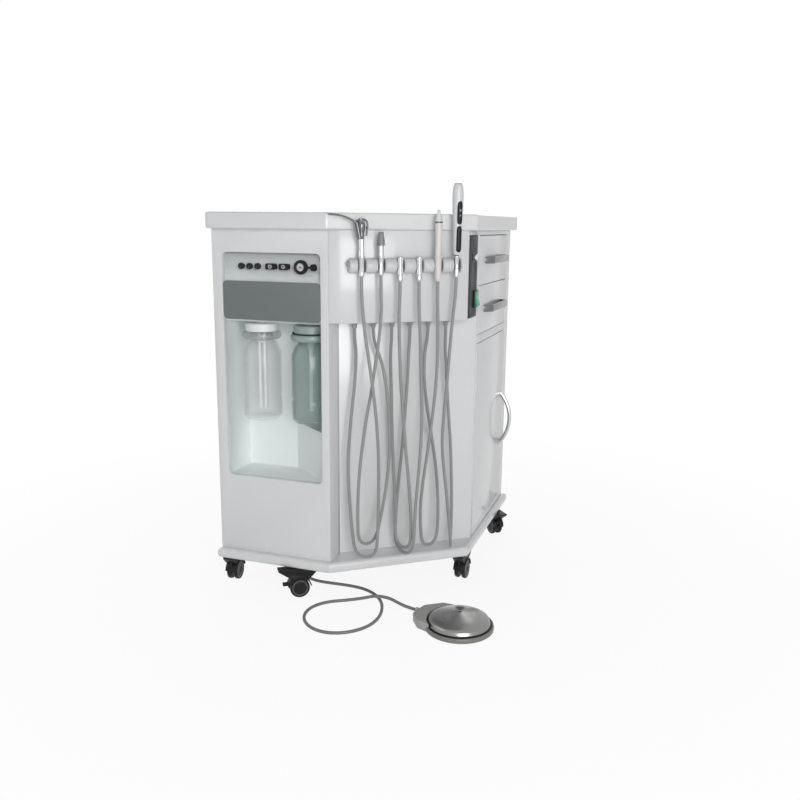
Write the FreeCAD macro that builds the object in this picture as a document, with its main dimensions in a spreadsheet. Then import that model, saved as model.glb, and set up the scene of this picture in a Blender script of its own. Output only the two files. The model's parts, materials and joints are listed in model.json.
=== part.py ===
"""Portable dental unit: a mobile cabinet with bottle bay, instrument rail, drawers and foot control.

Frame: millimetres, +Z up, floor at z = 0, origin under the centre of the whole footprint.
The bottle bay looks along -Y, the drawers and the door look along +X, and the instrument
rail is on the slanted face between them.
"""
import FreeCAD, Part
import math
import os
import Sketcher

# ---------------------------------------------------------------- driving sizes
SIZES = {
    # cabinet outline, seen from above
    "top_width": 550.0,
    "top_depth": 640.0,
    "front_straight": 283.0,
    "chamfer_angle": 37.5,
    "pedal_reach_x": 107.0,
    "pedal_reach_y": 84.0,
    # heights
    "unit_height": 850.0,
    "top_thick": 35.0,
    "base_bottom": 68.0,
    "base_thick": 24.0,
    # how far each body face stands inside the worktop edge
    "base_inset": 3.0,
    "front_inset": 19.0,
    "right_inset": 15.0,
    "left_inset": 6.0,
    "back_inset": 18.0,
    "corner_inset": 59.0,
    "box_inset": 5.0,
    "post_inset": 4.0,
    "board": 12.0,
    "top_round": 5.0,
    "base_round": 9.0,
    "vent_start": 300.0,
    "vent_length": 120.0,
    "vent_low": 60.0,
    "vent_pitch": 16.0,
    "vent_height": 6.0,
    # window and bottle bay
    "window_left": 29.0,
    "window_right": 22.0,
    "window_drop": 49.0,
    "sill_height": 176.0,
    "window_round": 11.0,
    "strip_height": 61.0,
    "smoked_height": 83.0,
    "bottle_room": 7.0,
    "bay_wall": 4.0,
    "bay_lip": 1.0,
    "ceiling_gap": 5.0,
    "gusset_gap": 17.0,
    "gusset_width": 108.0,
    "smoked_thick": 4.0,
    "smoked_gap": 1.5,
    # controls on the light strip, each place counted from the one to its right
    "gauge_place": 49.0,
    "coupler_place": 36.0,
    "coupler_pitch": 31.0,
    "valve_place": 30.0,
    "valve_pitch": 19.5,
    "valve_radius": 7.5,
    "knob_reach": 15.0,
    "knob_shaft": 2.5,
    "coupler_width": 23.0,
    "coupler_tall": 13.0,
    "gauge_radius": 17.0,
    "gauge_reach": 19.0,
    "regulator_radius": 7.5,
    "regulator_length": 14.0,
    # bottles
    "bottle_radius": 43.0,
    "bottle_left": 19.0,
    "bottle_right": 7.0,
    "bottle_height": 182.0,
    "shoulder_drop": 25.0,
    "bottle_wall": 2.5,
    "neck_radius": 27.0,
    "collar_radius": 41.0,
    "collar_height": 15.0,
    "cap_radius": 33.0,
    "cap_height": 19.0,
    "cap_stem": 6.0,
    # hanger box and its switch panel
    "box_height": 193.0,
    "box_wall": 3.0,
    "box_bend": 37.0,
    "switch_thick": 3.0,
    "switch_margin": 4.0,
    "switch_drop": 9.0,
    "rocker_height": 32.0,
    "rocker_width": 24.0,
    "rocker_rise": 44.0,
    "rocker_tilt": 7.0,
    "rocker_pin": 1.2,
    "key_drop": 57.0,
    "key_radius": 8.0,
    # drawers and door
    "front_thick": 16.0,
    "frame_thick": 18.0,
    "reveal": 1.5,
    "front_gap": 2.0,
    "rail_height": 10.0,
    "drawer_front": 111.0,
    "middle_rail": 22.0,
    "door_lift": 14.0,
    "back_stile": 38.0,
    "drawer_depth": 296.0,
    "tray_wall": 3.0,
    "tray_lift": 11.0,
    "tray_drop": 16.0,
    "runner_width": 10.0,
    "slide_gap": 0.3,
    "handle_length": 190.0,
    "handle_reach": 20.0,
    "handle_bar": 6.0,
    "handle_tall": 16.0,
    "bow_half": 67.0,
    "bow_rise": 25.0,
    "bow_rod": 5.0,
    "bow_lift": 216.0,
    "bow_margin": 10.0,
    "pin_radius": 2.5,
    "pin_length": 12.0,
    "pin_place": 5.5,
    "running_gap": 0.05,
    # instrument rail
    "rail_drop": 72.0,
    "rail_radius": 16.0,
    "rail_before": 25.0,
    "rail_after": 12.0,
    "foot_height": 18.0,
    "slot_first": 69.0,
    "slot_pitch": 42.0,
    "slot_reach": 8.7,
    "slot_gap": 0.3,
    "hose_radius": 3.5,
    "gland_inset": 34.0,
    "gland_radius": 7.0,
    "gland_length": 12.0,
    "flange_width": 2.5,
    "flange_height": 5.0,
    "syringe_radius": 6.5,
    "syringe_tail": 22.0,
    "syringe_height": 91.0,
    "head_height": 38.0,
    "head_width": 2.5,
    "nozzle_radius": 2.2,
    "coupling_radius": 6.0,
    "coupling_tail": 33.0,
    "coupling_height": 25.0,
    "capped_tail": 20.0,
    "capped_height": 69.0,
    "cap_length": 28.0,
    "scaler_radius": 7.5,
    "scaler_height": 115.0,
    "scaler_nose": 36.0,
    "light_radius": 12.0,
    "light_stub": 5.5,
    "light_tail": 25.0,
    "light_height": 169.0,
    # foot control
    "pedal_ring": 7.0,
    "pedal_plate": 4.0,
    "pedal_rim": 11.0,
    "disc_radius": 66.0,
    "disc_rim": 13.0,
    "disc_apex": 38.0,
    "disc_wall": 2.0,
    "guide_radius": 6.0,
    "guide_drop": 14.0,
    "arm_angle": 166.0,
    "arm_length": 28.5,
    "arm_width": 112.0,
    "arm_height": 19.0,
    "inlet_height": 12.0,
    "inlet_length": 5.0,
    "foot_gland_left": 150.0,
    "foot_gland_back": 170.0,
    # casters
    "wheel_radius": 22.5,
    "wheel_width": 10.0,
    "wheel_gap": 7.0,
    "web_thick": 5.0,
    "caster_trail": 18.0,
    "stem_radius": 5.0,
    "stem_depth": 18.0,
    "axle_radius": 3.0,
    "hood_gap": 2.0,
    "hood_wall": 2.5,
    "crown_front": 66.0,
    "crown_back": 24.0,
    "crown_width": 24.0,
    "caster_edge": 36.0,
    # compressor behind the door
    "tank_radius": 62.0,
    "tank_length": 230.0,
    "motor_radius": 48.0,
}


class Size:
    """A number together with the sheet expression that gives it."""

    def __init__(self, value, text):
        self.value = value
        self.text = text

    def __add__(self, other):
        return Size(self.value + number(other), f"({self.text} + {words(other)})")

    def __radd__(self, other):
        return Size(number(other) + self.value, f"({words(other)} + {self.text})")

    def __sub__(self, other):
        return Size(self.value - number(other), f"({self.text} - {words(other)})")

    def __rsub__(self, other):
        return Size(number(other) - self.value, f"({words(other)} - {self.text})")

    def __mul__(self, other):
        return Size(self.value * number(other), f"({self.text} * {words(other)})")

    def __rmul__(self, other):
        return Size(number(other) * self.value, f"({words(other)} * {self.text})")

    def __truediv__(self, other):
        return Size(self.value / number(other), f"({self.text} / {words(other)})")

    def __neg__(self):
        return Size(-self.value, f"(0 - {self.text})")


def number(size):
    """The plain number of a size."""
    return size.value if isinstance(size, Size) else float(size)


def words(size):
    """The expression of a size."""
    return size.text if isinstance(size, Size) else repr(float(size))


def sine(angle):
    """Sine of an angle in degrees."""
    return Size(math.sin(math.radians(number(angle))), f"sin({words(angle)})")


def cosine(angle):
    """Cosine of an angle in degrees."""
    return Size(math.cos(math.radians(number(angle))), f"cos({words(angle)})")


def tangent(angle):
    """Tangent of an angle in degrees."""
    return Size(math.tan(math.radians(number(angle))), f"tan({words(angle)})")


DOC = FreeCAD.newDocument("DentalUnit")
SHEET = DOC.addObject("Spreadsheet::Sheet", "Sizes")
NODES = {}
VECTOR = FreeCAD.Vector
UP = VECTOR(0, 0, 1)


class SheetSizes:
    """The sheet's sizes, each one an attribute."""


S = SheetSizes()


def fill_sheet():
    """Writes every driving size to its own cell, under its own alias."""
    for row, (name, value) in enumerate(SIZES.items(), start=1):
        cell = f"B{row}"
        SHEET.set(f"A{row}", name)
        SHEET.set(cell, repr(value))
        SHEET.setAlias(cell, name)
        setattr(S, name, Size(value, f"Sizes.{name}"))
    DOC.recompute()


fill_sheet()

# ---------------------------------------------------------------- shared places
LEFT = -(S.top_width + S.pedal_reach_x) / 2
RIGHT = LEFT + S.top_width
BACK = (S.top_depth + S.pedal_reach_y) / 2
FRONT = BACK - S.top_depth
CORNER_X = LEFT + S.front_straight
COS = cosine(S.chamfer_angle)
SIN = sine(S.chamfer_angle)
CHAMFER_Y = FRONT + (S.top_width - S.front_straight) * tangent(S.chamfer_angle)

TOP_UNDER = S.unit_height - S.top_thick
BASE_TOP = S.base_bottom + S.base_thick
FACE_FRONT = FRONT + S.front_inset
FACE_RIGHT = RIGHT - S.right_inset
BODY_LEFT = LEFT + S.left_inset
BODY_BACK = BACK - S.back_inset
POST_X = CORNER_X - S.post_inset
WINDOW_LEFT = LEFT + S.window_left
WINDOW_RIGHT = CORNER_X - S.window_right
WINDOW_TOP = TOP_UNDER - S.window_drop
WINDOW_BOTTOM = BASE_TOP + S.sill_height
SMOKED_TOP = WINDOW_TOP - S.strip_height
SMOKED_BOTTOM = SMOKED_TOP - S.smoked_height
CONTROL_HEIGHT = WINDOW_TOP - S.strip_height * 0.475
BAY_FLOOR = WINDOW_BOTTOM - S.bay_lip
BAY_CEILING = SMOKED_BOTTOM - S.ceiling_gap
BAY_DEPTH = S.bottle_radius * 2 + S.bottle_room
CAP_TOP = BAY_CEILING - S.cap_stem
CAP_BOTTOM = CAP_TOP - S.cap_height
COLLAR_BOTTOM = CAP_BOTTOM - S.collar_height
BOTTLE_BOTTOM = COLLAR_BOTTOM - S.bottle_height
BOX_BOTTOM = TOP_UNDER - S.box_height
DRAWERS_TOP = TOP_UNDER - S.rail_height - S.reveal
DRAWERS_FLOOR = DRAWERS_TOP - S.drawer_front * 2 - S.reveal
DOOR_TOP = DRAWERS_FLOOR - S.middle_rail
DOOR_BOTTOM = BASE_TOP + S.door_lift
RAIL_CENTRE = TOP_UNDER - S.rail_drop
RAIL_INSET = S.box_inset - S.rail_radius - S.slide_gap
SLOT_INSET = RAIL_INSET - S.slot_reach


def slant_to_row(along, inset):
    """Row x and y of a point given along the slanted edge and inwards from it."""
    return (CORNER_X + along * COS - inset * SIN, FRONT + along * SIN + inset * COS)


def slant_at_x(x, inset):
    """How far along the slanted edge a line at this inset meets a plane of constant x."""
    return (x - CORNER_X + inset * SIN) / COS


# ---------------------------------------------------------------- building helpers
def bind(thing, prop, size):
    """Binds one property to a size's expression."""
    if isinstance(size, Size):
        thing.setExpression(prop, size.text)
    else:
        setattr(thing, prop, size)


def place(thing, x=0.0, y=0.0, z=0.0, angle=0.0, axis=UP):
    """Gives an object its place, bound to the sheet."""
    rotation = FreeCAD.Rotation(axis, number(angle))
    thing.Placement = FreeCAD.Placement(VECTOR(number(x), number(y), number(z)), rotation)
    for prop, size in (("x", x), ("y", y), ("z", z)):
        if isinstance(size, Size):
            thing.setExpression(f"Placement.Base.{prop}", size.text)
    if isinstance(angle, Size):
        thing.setExpression("Placement.Rotation.Angle", angle.text)
    return thing


def place_slanted(thing, along, inset, z):
    """Puts an object's frame on the slanted face: x along it, y inwards, z up."""
    x, y = slant_to_row(along, inset)
    return place(thing, x, y, z, S.chamfer_angle)


def node(name, thing):
    """Registers an object as the sub-part of this name."""
    thing.Label = name
    NODES[name] = thing
    return thing


def box(x0, x1, y0, y1, z0, z1):
    """A block between two values on each axis."""
    block = DOC.addObject("Part::Box", "Block")
    bind(block, "Length", x1 - x0)
    bind(block, "Width", y1 - y0)
    bind(block, "Height", z1 - z0)
    return place(block, x0, y0, z0)


def rod(radius, length, x=0.0, y=0.0, z=0.0, towards="Z"):
    """A cylinder from a point along +X, +Y or +Z."""
    cylinder = DOC.addObject("Part::Cylinder", "Rod")
    bind(cylinder, "Radius", radius)
    bind(cylinder, "Height", length)
    place(cylinder, x, y, z)
    turns = {"X": FreeCAD.Rotation(VECTOR(0, 1, 0), 90), "Y": FreeCAD.Rotation(VECTOR(1, 0, 0), -90)}
    if towards in turns:
        cylinder.Placement = FreeCAD.Placement(cylinder.Placement.Base, turns[towards])
    return cylinder


def cut(base, *tools):
    """The base less each tool in turn."""
    result = base
    for tool in tools:
        step = DOC.addObject("Part::Cut", "Cut")
        step.Base = result
        step.Tool = tool
        result = step
    return result


def fuse(*pieces):
    """Several solids joined as one."""
    joined = DOC.addObject("Part::MultiFuse", "Joined")
    joined.Shapes = list(pieces)
    joined.Refine = True
    return joined


def group(*pieces):
    """Several separate solids kept in one object."""
    together = DOC.addObject("Part::Compound", "Group")
    together.Links = list(pieces)
    return together


def origin_plane(body, role):
    """One of a body's own origin planes."""
    return next(plane for plane in body.Origin.OriginFeatures if plane.Role == role)


def attached_sketch(body, role):
    """A new sketch on one of the body's origin planes."""
    sketch = body.newObject("Sketcher::SketchObject", "Sketch")
    sketch.AttachmentSupport = [(origin_plane(body, role), "")]
    sketch.MapMode = "FlatFace"
    return sketch


def pin_down(sketch, line, axis, size, end=1):
    """Fixes one end of a sketch line along X or Y, measured from the origin."""
    where = sketch.addConstraint(Sketcher.Constraint(f"Distance{axis}", -1, 1, line, end, number(size)))
    if isinstance(size, Size):
        sketch.setExpression(f"Constraints[{where}]", size.text)


def draw_polygon(sketch, points):
    """A closed outline through points whose places are sizes."""
    flat = [VECTOR(number(x), number(y), 0) for x, y in points]
    count = len(flat)
    for start in range(count):
        sketch.addGeometry(Part.LineSegment(flat[start], flat[(start + 1) % count]), False)
    for start in range(count):
        sketch.addConstraint(Sketcher.Constraint("Coincident", start, 2, (start + 1) % count, 1))
    for line, (x, y) in enumerate(points):
        pin_down(sketch, line, "X", x)
        pin_down(sketch, line, "Y", y)


def draw_rounded(sketch, x0, x1, y0, y1, radius):
    """A rectangle with round corners."""
    ax, bx, ay, by, r = (number(size) for size in (x0, x1, y0, y1, radius))
    corners = ((ax + r, ay, bx - r, ay), (bx, ay + r, bx, by - r))
    corners += ((bx - r, by, ax + r, by), (ax, by - r, ax, ay + r))
    for x_from, y_from, x_to, y_to in corners:
        sketch.addGeometry(Part.LineSegment(VECTOR(x_from, y_from, 0), VECTOR(x_to, y_to, 0)), False)
    centres = ((bx - r, ay + r), (bx - r, by - r), (ax + r, by - r), (ax + r, ay + r))
    for index, (x, y) in enumerate(centres):
        circle = Part.Circle(VECTOR(x, y, 0), UP, r)
        start = math.radians(270 + 90 * index)
        sketch.addGeometry(Part.ArcOfCircle(circle, start, start + math.pi / 2), False)
    for index in range(4):
        arc = 4 + index
        sketch.addConstraint(Sketcher.Constraint("Tangent", index, 2, arc, 1))
        sketch.addConstraint(Sketcher.Constraint("Tangent", arc, 2, (index + 1) % 4, 1))
        where = sketch.addConstraint(Sketcher.Constraint("Radius", arc, r))
        if isinstance(radius, Size):
            sketch.setExpression(f"Constraints[{where}]", radius.text)
    sketch.addConstraint(Sketcher.Constraint("Horizontal", 0))
    sketch.addConstraint(Sketcher.Constraint("Vertical", 1))
    sketch.addConstraint(Sketcher.Constraint("Horizontal", 2))
    sketch.addConstraint(Sketcher.Constraint("Vertical", 3))
    pin_down(sketch, 0, "Y", y0)
    pin_down(sketch, 1, "X", x1)
    pin_down(sketch, 2, "Y", y1)
    pin_down(sketch, 3, "X", x0)


def pad(body, sketch, length, reverse=False):
    """Pads a sketch by a length along its plane's normal, or against it."""
    feature = body.newObject("PartDesign::Pad", "Pad")
    feature.Profile = sketch
    feature.Reversed = reverse
    bind(feature, "Length", length)
    return feature


def prism(points, length, role="XY_Plane", reverse=False):
    """A body with a polygon outline, padded from one of its origin planes."""
    body = DOC.addObject("PartDesign::Body", "Prism")
    sketch = attached_sketch(body, role)
    draw_polygon(sketch, points)
    pad(body, sketch, length, reverse)
    return body


def plate(x0, x1, z0, z1, radius, thick):
    """An upright plate with round corners, its front at y = 0 and its back at y = thick."""
    body = DOC.addObject("PartDesign::Body", "Plate")
    sketch = attached_sketch(body, "XZ_Plane")
    draw_rounded(sketch, x0, x1, z0, z1, radius)
    pad(body, sketch, thick, reverse=True)
    return body


def turned(profile):
    """A body turned about Z from (radius, height) points."""
    body = DOC.addObject("PartDesign::Body", "Turned")
    sketch = attached_sketch(body, "XZ_Plane")
    draw_polygon(sketch, profile)
    feature = body.newObject("PartDesign::Revolution", "Turn")
    feature.Profile = sketch
    feature.ReferenceAxis = (sketch, ["V_Axis"])
    feature.Angle = 360
    return body


def round_edges(body, radius, chosen):
    """Rounds the edges of a body's tip that the test picks."""
    DOC.recompute()
    tip = body.Tip
    names = [f"Edge{index}" for index, edge in enumerate(tip.Shape.Edges, start=1) if chosen(edge)]
    feature = body.newObject("PartDesign::Fillet", "Round")
    feature.Base = (tip, names)
    bind(feature, "Radius", radius)
    return feature


def is_upright(edge):
    """True for a straight vertical edge."""
    ends = edge.Vertexes
    if len(ends) != 2 or abs(ends[0].Z - ends[1].Z) <= 1:
        return False
    return ends[0].Point.distanceToLine(ends[1].Point, UP) < 0.01


def is_level(edge):
    """True for an edge that lies in a level plane."""
    return edge.BoundBox.ZLength < 0.01


# ---------------------------------------------------------------- cabinet shell
def outline(inset):
    """The five corners of the cabinet outline, moved inwards by an inset."""
    half = S.chamfer_angle / 2
    return [
        (LEFT + inset, FRONT + inset),
        (CORNER_X - inset * tangent(half), FRONT + inset),
        (RIGHT - inset, CHAMFER_Y + inset * tangent(45 - half)),
        (RIGHT - inset, BACK - inset),
        (LEFT + inset, BACK - inset),
    ]


def build_worktop():
    """The thick top board with soft edges."""
    body = prism(outline(0.0), S.top_thick)
    round_edges(body, S.top_round * 2, is_upright)
    round_edges(body, S.top_round, is_level)
    node("worktop", place(body, z=TOP_UNDER))


def caster_places():
    """Swivel axis of each caster and the direction its wheels trail, by name."""
    return {
        "left_front": (LEFT + S.caster_edge - 15.5, FRONT + S.caster_edge, 97.0),
        "front_corner": (CORNER_X - 66, FRONT + S.caster_edge - 8, 215.0),
        "side_corner": (RIGHT - S.caster_edge + 9, CHAMFER_Y + S.caster_edge - 16, 88.0),
        "right_back": (RIGHT - S.caster_edge + 6, BACK - S.caster_edge - 30, -50.0),
        "left_back": (LEFT + S.caster_edge + 1, BACK - S.caster_edge - 6, 20.0),
    }


def build_base_board():
    """The base board with a bullnose edge and a blind hole for each caster stem."""
    body = prism(outline(S.base_inset), S.base_thick)
    round_edges(body, S.base_round, is_level)
    place(body, z=S.base_bottom)
    holes = [
        rod(S.stem_radius + S.running_gap, S.stem_depth + 2, x, y, S.base_bottom)
        for x, y, _ in caster_places().values()
    ]
    node("base_board", cut(body, *holes))


def build_left_panel():
    """The left side board, from the front panel to the back."""
    front = FACE_FRONT + S.board
    board = box(BODY_LEFT, BODY_LEFT + S.board, front, BODY_BACK, BASE_TOP, TOP_UNDER)
    node("left_panel", board)


def build_back_panel():
    """The back board with a row of ventilation slots low down."""
    x0 = BODY_LEFT + S.board
    x1 = FACE_RIGHT - S.frame_thick
    board = box(x0, x1, BODY_BACK - S.board, BODY_BACK, BASE_TOP, TOP_UNDER)
    slots = []
    for index in range(7):
        low = BASE_TOP + S.vent_low + S.vent_pitch * index
        start = x0 + S.vent_start
        end = start + S.vent_length
        slots.append(box(start, end, BODY_BACK - S.board - 1, BODY_BACK + 1, low, low + S.vent_height))
    node("back_panel", cut(board, *slots))


def build_front_panel():
    """The front board with the bay window, turned back at the corner post."""
    back = FACE_FRONT + S.board
    deep_along = slant_at_x(POST_X, S.corner_inset)
    turn_y = slant_to_row(deep_along, S.corner_inset)[1]
    points = [
        (BODY_LEFT, FACE_FRONT),
        (POST_X, FACE_FRONT),
        (POST_X, turn_y),
        (POST_X - S.board, turn_y),
        (POST_X - S.board, back),
        (BODY_LEFT, back),
    ]
    body = prism(points, TOP_UNDER - BASE_TOP)
    place(body, z=BASE_TOP)
    window = plate(WINDOW_LEFT, WINDOW_RIGHT, WINDOW_BOTTOM, WINDOW_TOP, S.window_round, S.board + 2)
    place(window, y=FACE_FRONT - 1)
    node("front_panel", cut(body, window))


def build_corner_panel():
    """The recessed slanted board behind the hoses, up to the worktop."""
    deep = S.corner_inset + S.board
    x, y = slant_to_row(0.0, 0.0)
    points = []
    for inset, plane in (
        (S.corner_inset, POST_X),
        (S.corner_inset, FACE_RIGHT),
        (deep, FACE_RIGHT),
        (deep, POST_X),
    ):
        points.append((slant_at_x(plane, inset), inset))
    body = prism(points, TOP_UNDER - BASE_TOP)
    node("corner_panel", place(body, x, y, BASE_TOP, S.chamfer_angle))


def frame_start():
    """Row y where the drawer frame begins, behind the slanted board."""
    deep = S.corner_inset + S.board
    return slant_to_row(slant_at_x(FACE_RIGHT, deep), deep)[1]


FRONT_START = frame_start() + S.front_gap
FRONT_END = BODY_BACK - S.back_stile - S.front_gap


def build_right_frame():
    """The fixed frame round the drawers and the door: three rails and the back stile."""
    inner = FACE_RIGHT - S.frame_thick
    start = frame_start()
    stile_y = FRONT_END + S.front_gap
    rail_top = TOP_UNDER - S.rail_height
    stile = box(inner, FACE_RIGHT, stile_y, BODY_BACK, BASE_TOP, TOP_UNDER)
    top_rail = box(inner, FACE_RIGHT, start, stile_y, rail_top, TOP_UNDER)
    mid_rail = box(inner, FACE_RIGHT, start, stile_y, DOOR_TOP + S.reveal, DRAWERS_FLOOR - S.reveal)
    low_rail = box(inner, FACE_RIGHT, start, stile_y, BASE_TOP, DOOR_BOTTOM - S.reveal)
    node("right_frame", fuse(stile, top_rail, mid_rail, low_rail))


# ---------------------------------------------------------------- inner case and drawers
CASE_END = FACE_RIGHT - S.frame_thick
CASE_START = CASE_END - S.drawer_depth - 22
CASE_NEAR = FRONT_START + 5
CASE_FAR = FRONT_END - 5


def drawer_levels():
    """Lowest and highest z of each drawer front, by name."""
    upper = DRAWERS_TOP - S.drawer_front
    return {"upper": (upper, DRAWERS_TOP), "lower": (DRAWERS_FLOOR, upper - S.reveal)}


def tray_floor(low):
    """The height of a tray's underside above its front's lower edge."""
    return low + S.tray_lift


def build_inner_case():
    """The fixed case behind the fronts: two walls, a back, a shelf and four runners."""
    near = box(CASE_START, CASE_END, CASE_NEAR - S.board, CASE_NEAR, BASE_TOP, TOP_UNDER)
    far = box(CASE_START, CASE_END, CASE_FAR, CASE_FAR + S.board, BASE_TOP, TOP_UNDER)
    start = CASE_START - S.board
    rear = box(start, CASE_START, CASE_NEAR - S.board, CASE_FAR + S.board, BASE_TOP, TOP_UNDER)
    shelf = box(CASE_START, CASE_END, CASE_NEAR, CASE_FAR, DOOR_TOP + 4, DRAWERS_FLOOR - 4)
    runners = []
    for low, _ in drawer_levels().values():
        seat = tray_floor(low) - S.slide_gap
        for y0, y1 in (
            (CASE_NEAR, CASE_NEAR + S.runner_width),
            (CASE_FAR - S.runner_width, CASE_FAR),
        ):
            runners.append(box(CASE_START, CASE_END, y0, y1, seat - 4, seat))
    node("inner_case", fuse(near, far, rear, shelf, *runners))


def build_drawers():
    """Both drawers, each a front with its open tray, and their bar handles."""
    inner = FACE_RIGHT - S.front_thick
    for name, (low, high) in drawer_levels().items():
        floor = tray_floor(low)
        start = inner - S.drawer_depth
        near = CASE_NEAR + 4
        far = CASE_FAR - 4
        rim = high - S.tray_drop
        wall = S.tray_wall
        front = box(inner, FACE_RIGHT, FRONT_START, FRONT_END, low, high)
        tray = box(start, inner + 1, near, far, floor, rim)
        hollow = box(start + wall, inner, near + wall, far - wall, floor + wall, rim + 5)
        node(f"{name}_drawer", fuse(front, cut(tray, hollow)))
        build_bar_handle(f"{name}_drawer_handle", (low + high) / 2)


def build_bar_handle(name, z):
    """A flat bar handle with slanted ends, standing on the drawer front."""
    middle = (FRONT_START + FRONT_END) / 2
    half = S.handle_length / 2
    reach = S.handle_reach
    bar = S.handle_bar
    slope = reach * 0.8
    points = [
        (0.0, -half),
        (reach, -half + slope),
        (reach, half - slope),
        (0.0, half),
        (0.0, half - bar * 1.6),
        (reach - bar, half - slope - bar * 0.4),
        (reach - bar, -half + slope + bar * 0.4),
        (0.0, -half + bar * 1.6),
    ]
    body = prism(points, S.handle_tall)
    node(name, place(body, FACE_RIGHT, middle, z - S.handle_tall / 2))


def pivot_place():
    """Row x and y of the door's pivot axis."""
    return FACE_RIGHT - S.pin_place, FRONT_START + S.pin_place


def build_door():
    """The door with blind holes for its two pivot pins."""
    inner = FACE_RIGHT - S.front_thick
    x, y = pivot_place()
    bore = S.pin_radius + S.running_gap
    depth = S.pin_length + 2
    slab = box(inner, FACE_RIGHT, FRONT_START, FRONT_END, DOOR_BOTTOM, DOOR_TOP)
    low_hole = rod(bore, depth, x, y, DOOR_BOTTOM)
    high_hole = rod(bore, depth, x, y, DOOR_TOP - depth)
    node("door_panel", cut(slab, low_hole, high_hole))


def build_door_pivots():
    """The two pivot pins, each on a thin washer against its rail."""
    x, y = pivot_place()
    washer = S.reveal - S.slide_gap
    low_seat = DOOR_BOTTOM - S.reveal
    high_seat = DOOR_TOP + S.reveal
    low = fuse(
        rod(S.pin_radius, S.pin_length + S.reveal, x, y, low_seat),
        rod(S.pin_radius + 2, washer, x, y, low_seat),
    )
    high = fuse(
        rod(S.pin_radius, S.pin_length + S.reveal, x, y, high_seat - S.pin_length - S.reveal),
        rod(S.pin_radius + 2, washer, x, y, high_seat - washer),
    )
    node("door_pivots", group(low, high))


def build_door_handle():
    """The bowed rod handle near the door's free edge."""
    half = S.bow_half
    rise = S.bow_rise
    radius = (half * half + rise * rise) / (rise * 2)
    ring = DOC.addObject("Part::Torus", "Ring")
    bind(ring, "Radius1", radius)
    bind(ring, "Radius2", S.bow_rod)
    ring.Placement = FreeCAD.Placement(VECTOR(0, 0, 0), FreeCAD.Rotation(VECTOR(1, 0, 0), 90))
    x = FACE_RIGHT + rise - radius
    y = FRONT_END - S.bow_margin
    middle = DOOR_BOTTOM + S.bow_lift
    for prop, size in (("x", x), ("y", y), ("z", middle)):
        ring.setExpression(f"Placement.Base.{prop}", words(size))
    low = middle - radius * 2
    waste = box(FACE_RIGHT - radius * 2, FACE_RIGHT, y - 20, y + 20, low, middle + radius * 2)
    node("door_handle", cut(ring, waste))


def build_compressor():
    """The oil-free compressor: an air tank on feet with a twin-head motor on top."""
    length = S.tank_length
    x0 = CASE_START + 30
    y = (CASE_NEAR + CASE_FAR) / 2
    tank_z = BASE_TOP + 14 + S.tank_radius
    tank = rod(S.tank_radius, length, x0, y, tank_z, "X")
    feet = [
        box(x0 + place_x, x0 + place_x + 24, y - 50, y + 50, BASE_TOP, tank_z - S.tank_radius * 0.6)
        for place_x in (30.0, 176.0)
    ]
    motor_z = tank_z + S.tank_radius + S.motor_radius - 6
    motor = rod(S.motor_radius, length - 90, x0 + 45, y, motor_z, "X")
    heads = [
        box(x0 + place_x, x0 + place_x + 34, y - 30, y + 30, motor_z, motor_z + S.motor_radius + 24)
        for place_x in (52.0, 144.0)
    ]
    seat = tank_z + S.tank_radius - 14
    saddle = box(x0 + 70, x0 + 160, y - 28, y + 28, seat, motor_z - S.motor_radius + 12)
    node("compressor", fuse(tank, *feet, motor, *heads, saddle))


# ---------------------------------------------------------------- bottle bay
BAY_FRONT = FACE_FRONT + S.board
BAY_BACK = BAY_FRONT + BAY_DEPTH


def build_bottle_bay():
    """The moulded tub behind the window, with the light control strip above it."""
    wall = S.bay_wall
    x0 = WINDOW_LEFT - wall
    x1 = WINDOW_RIGHT + wall
    top = WINDOW_TOP + 6
    shell = box(x0, x1, BAY_FRONT, BAY_BACK + wall, BAY_FLOOR - wall, top)
    tub = box(WINDOW_LEFT, WINDOW_RIGHT, BAY_FRONT - 1, BAY_BACK, BAY_FLOOR, BAY_CEILING)
    ceiling = BAY_CEILING + wall
    loft = box(WINDOW_LEFT, WINDOW_RIGHT, BAY_FRONT + wall, BAY_BACK + wall + 1, ceiling, top - wall)
    gusset = prism(
        [
            (WINDOW_RIGHT, BAY_FRONT + 2),
            (WINDOW_RIGHT + wall / 2, BAY_BACK + wall / 2),
            (WINDOW_RIGHT - S.gusset_width, BAY_BACK + wall / 2),
            (WINDOW_RIGHT - S.gusset_width, BAY_BACK),
        ],
        BOTTLE_BOTTOM - S.gusset_gap - BAY_FLOOR + wall / 2,
    )
    place(gusset, z=BAY_FLOOR - wall / 2)
    bores = [
        rod(S.knob_shaft + S.running_gap, wall + 2, x, BAY_FRONT - 1, CONTROL_HEIGHT, "Y")
        for x in valve_places()
    ]
    node("bottle_bay", cut(fuse(cut(shell, tub, loft), gusset), *bores))


GAUGE_X = WINDOW_RIGHT - S.gauge_place


def coupler_places():
    """Row x of the two quick couplers, from the left."""
    right = GAUGE_X - S.coupler_place
    return [right - S.coupler_pitch, right]


def valve_places():
    """Row x of each of the three small valve knobs, from the left."""
    last = coupler_places()[0] - S.valve_place
    return [last - S.valve_pitch * 2, last - S.valve_pitch, last]


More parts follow.
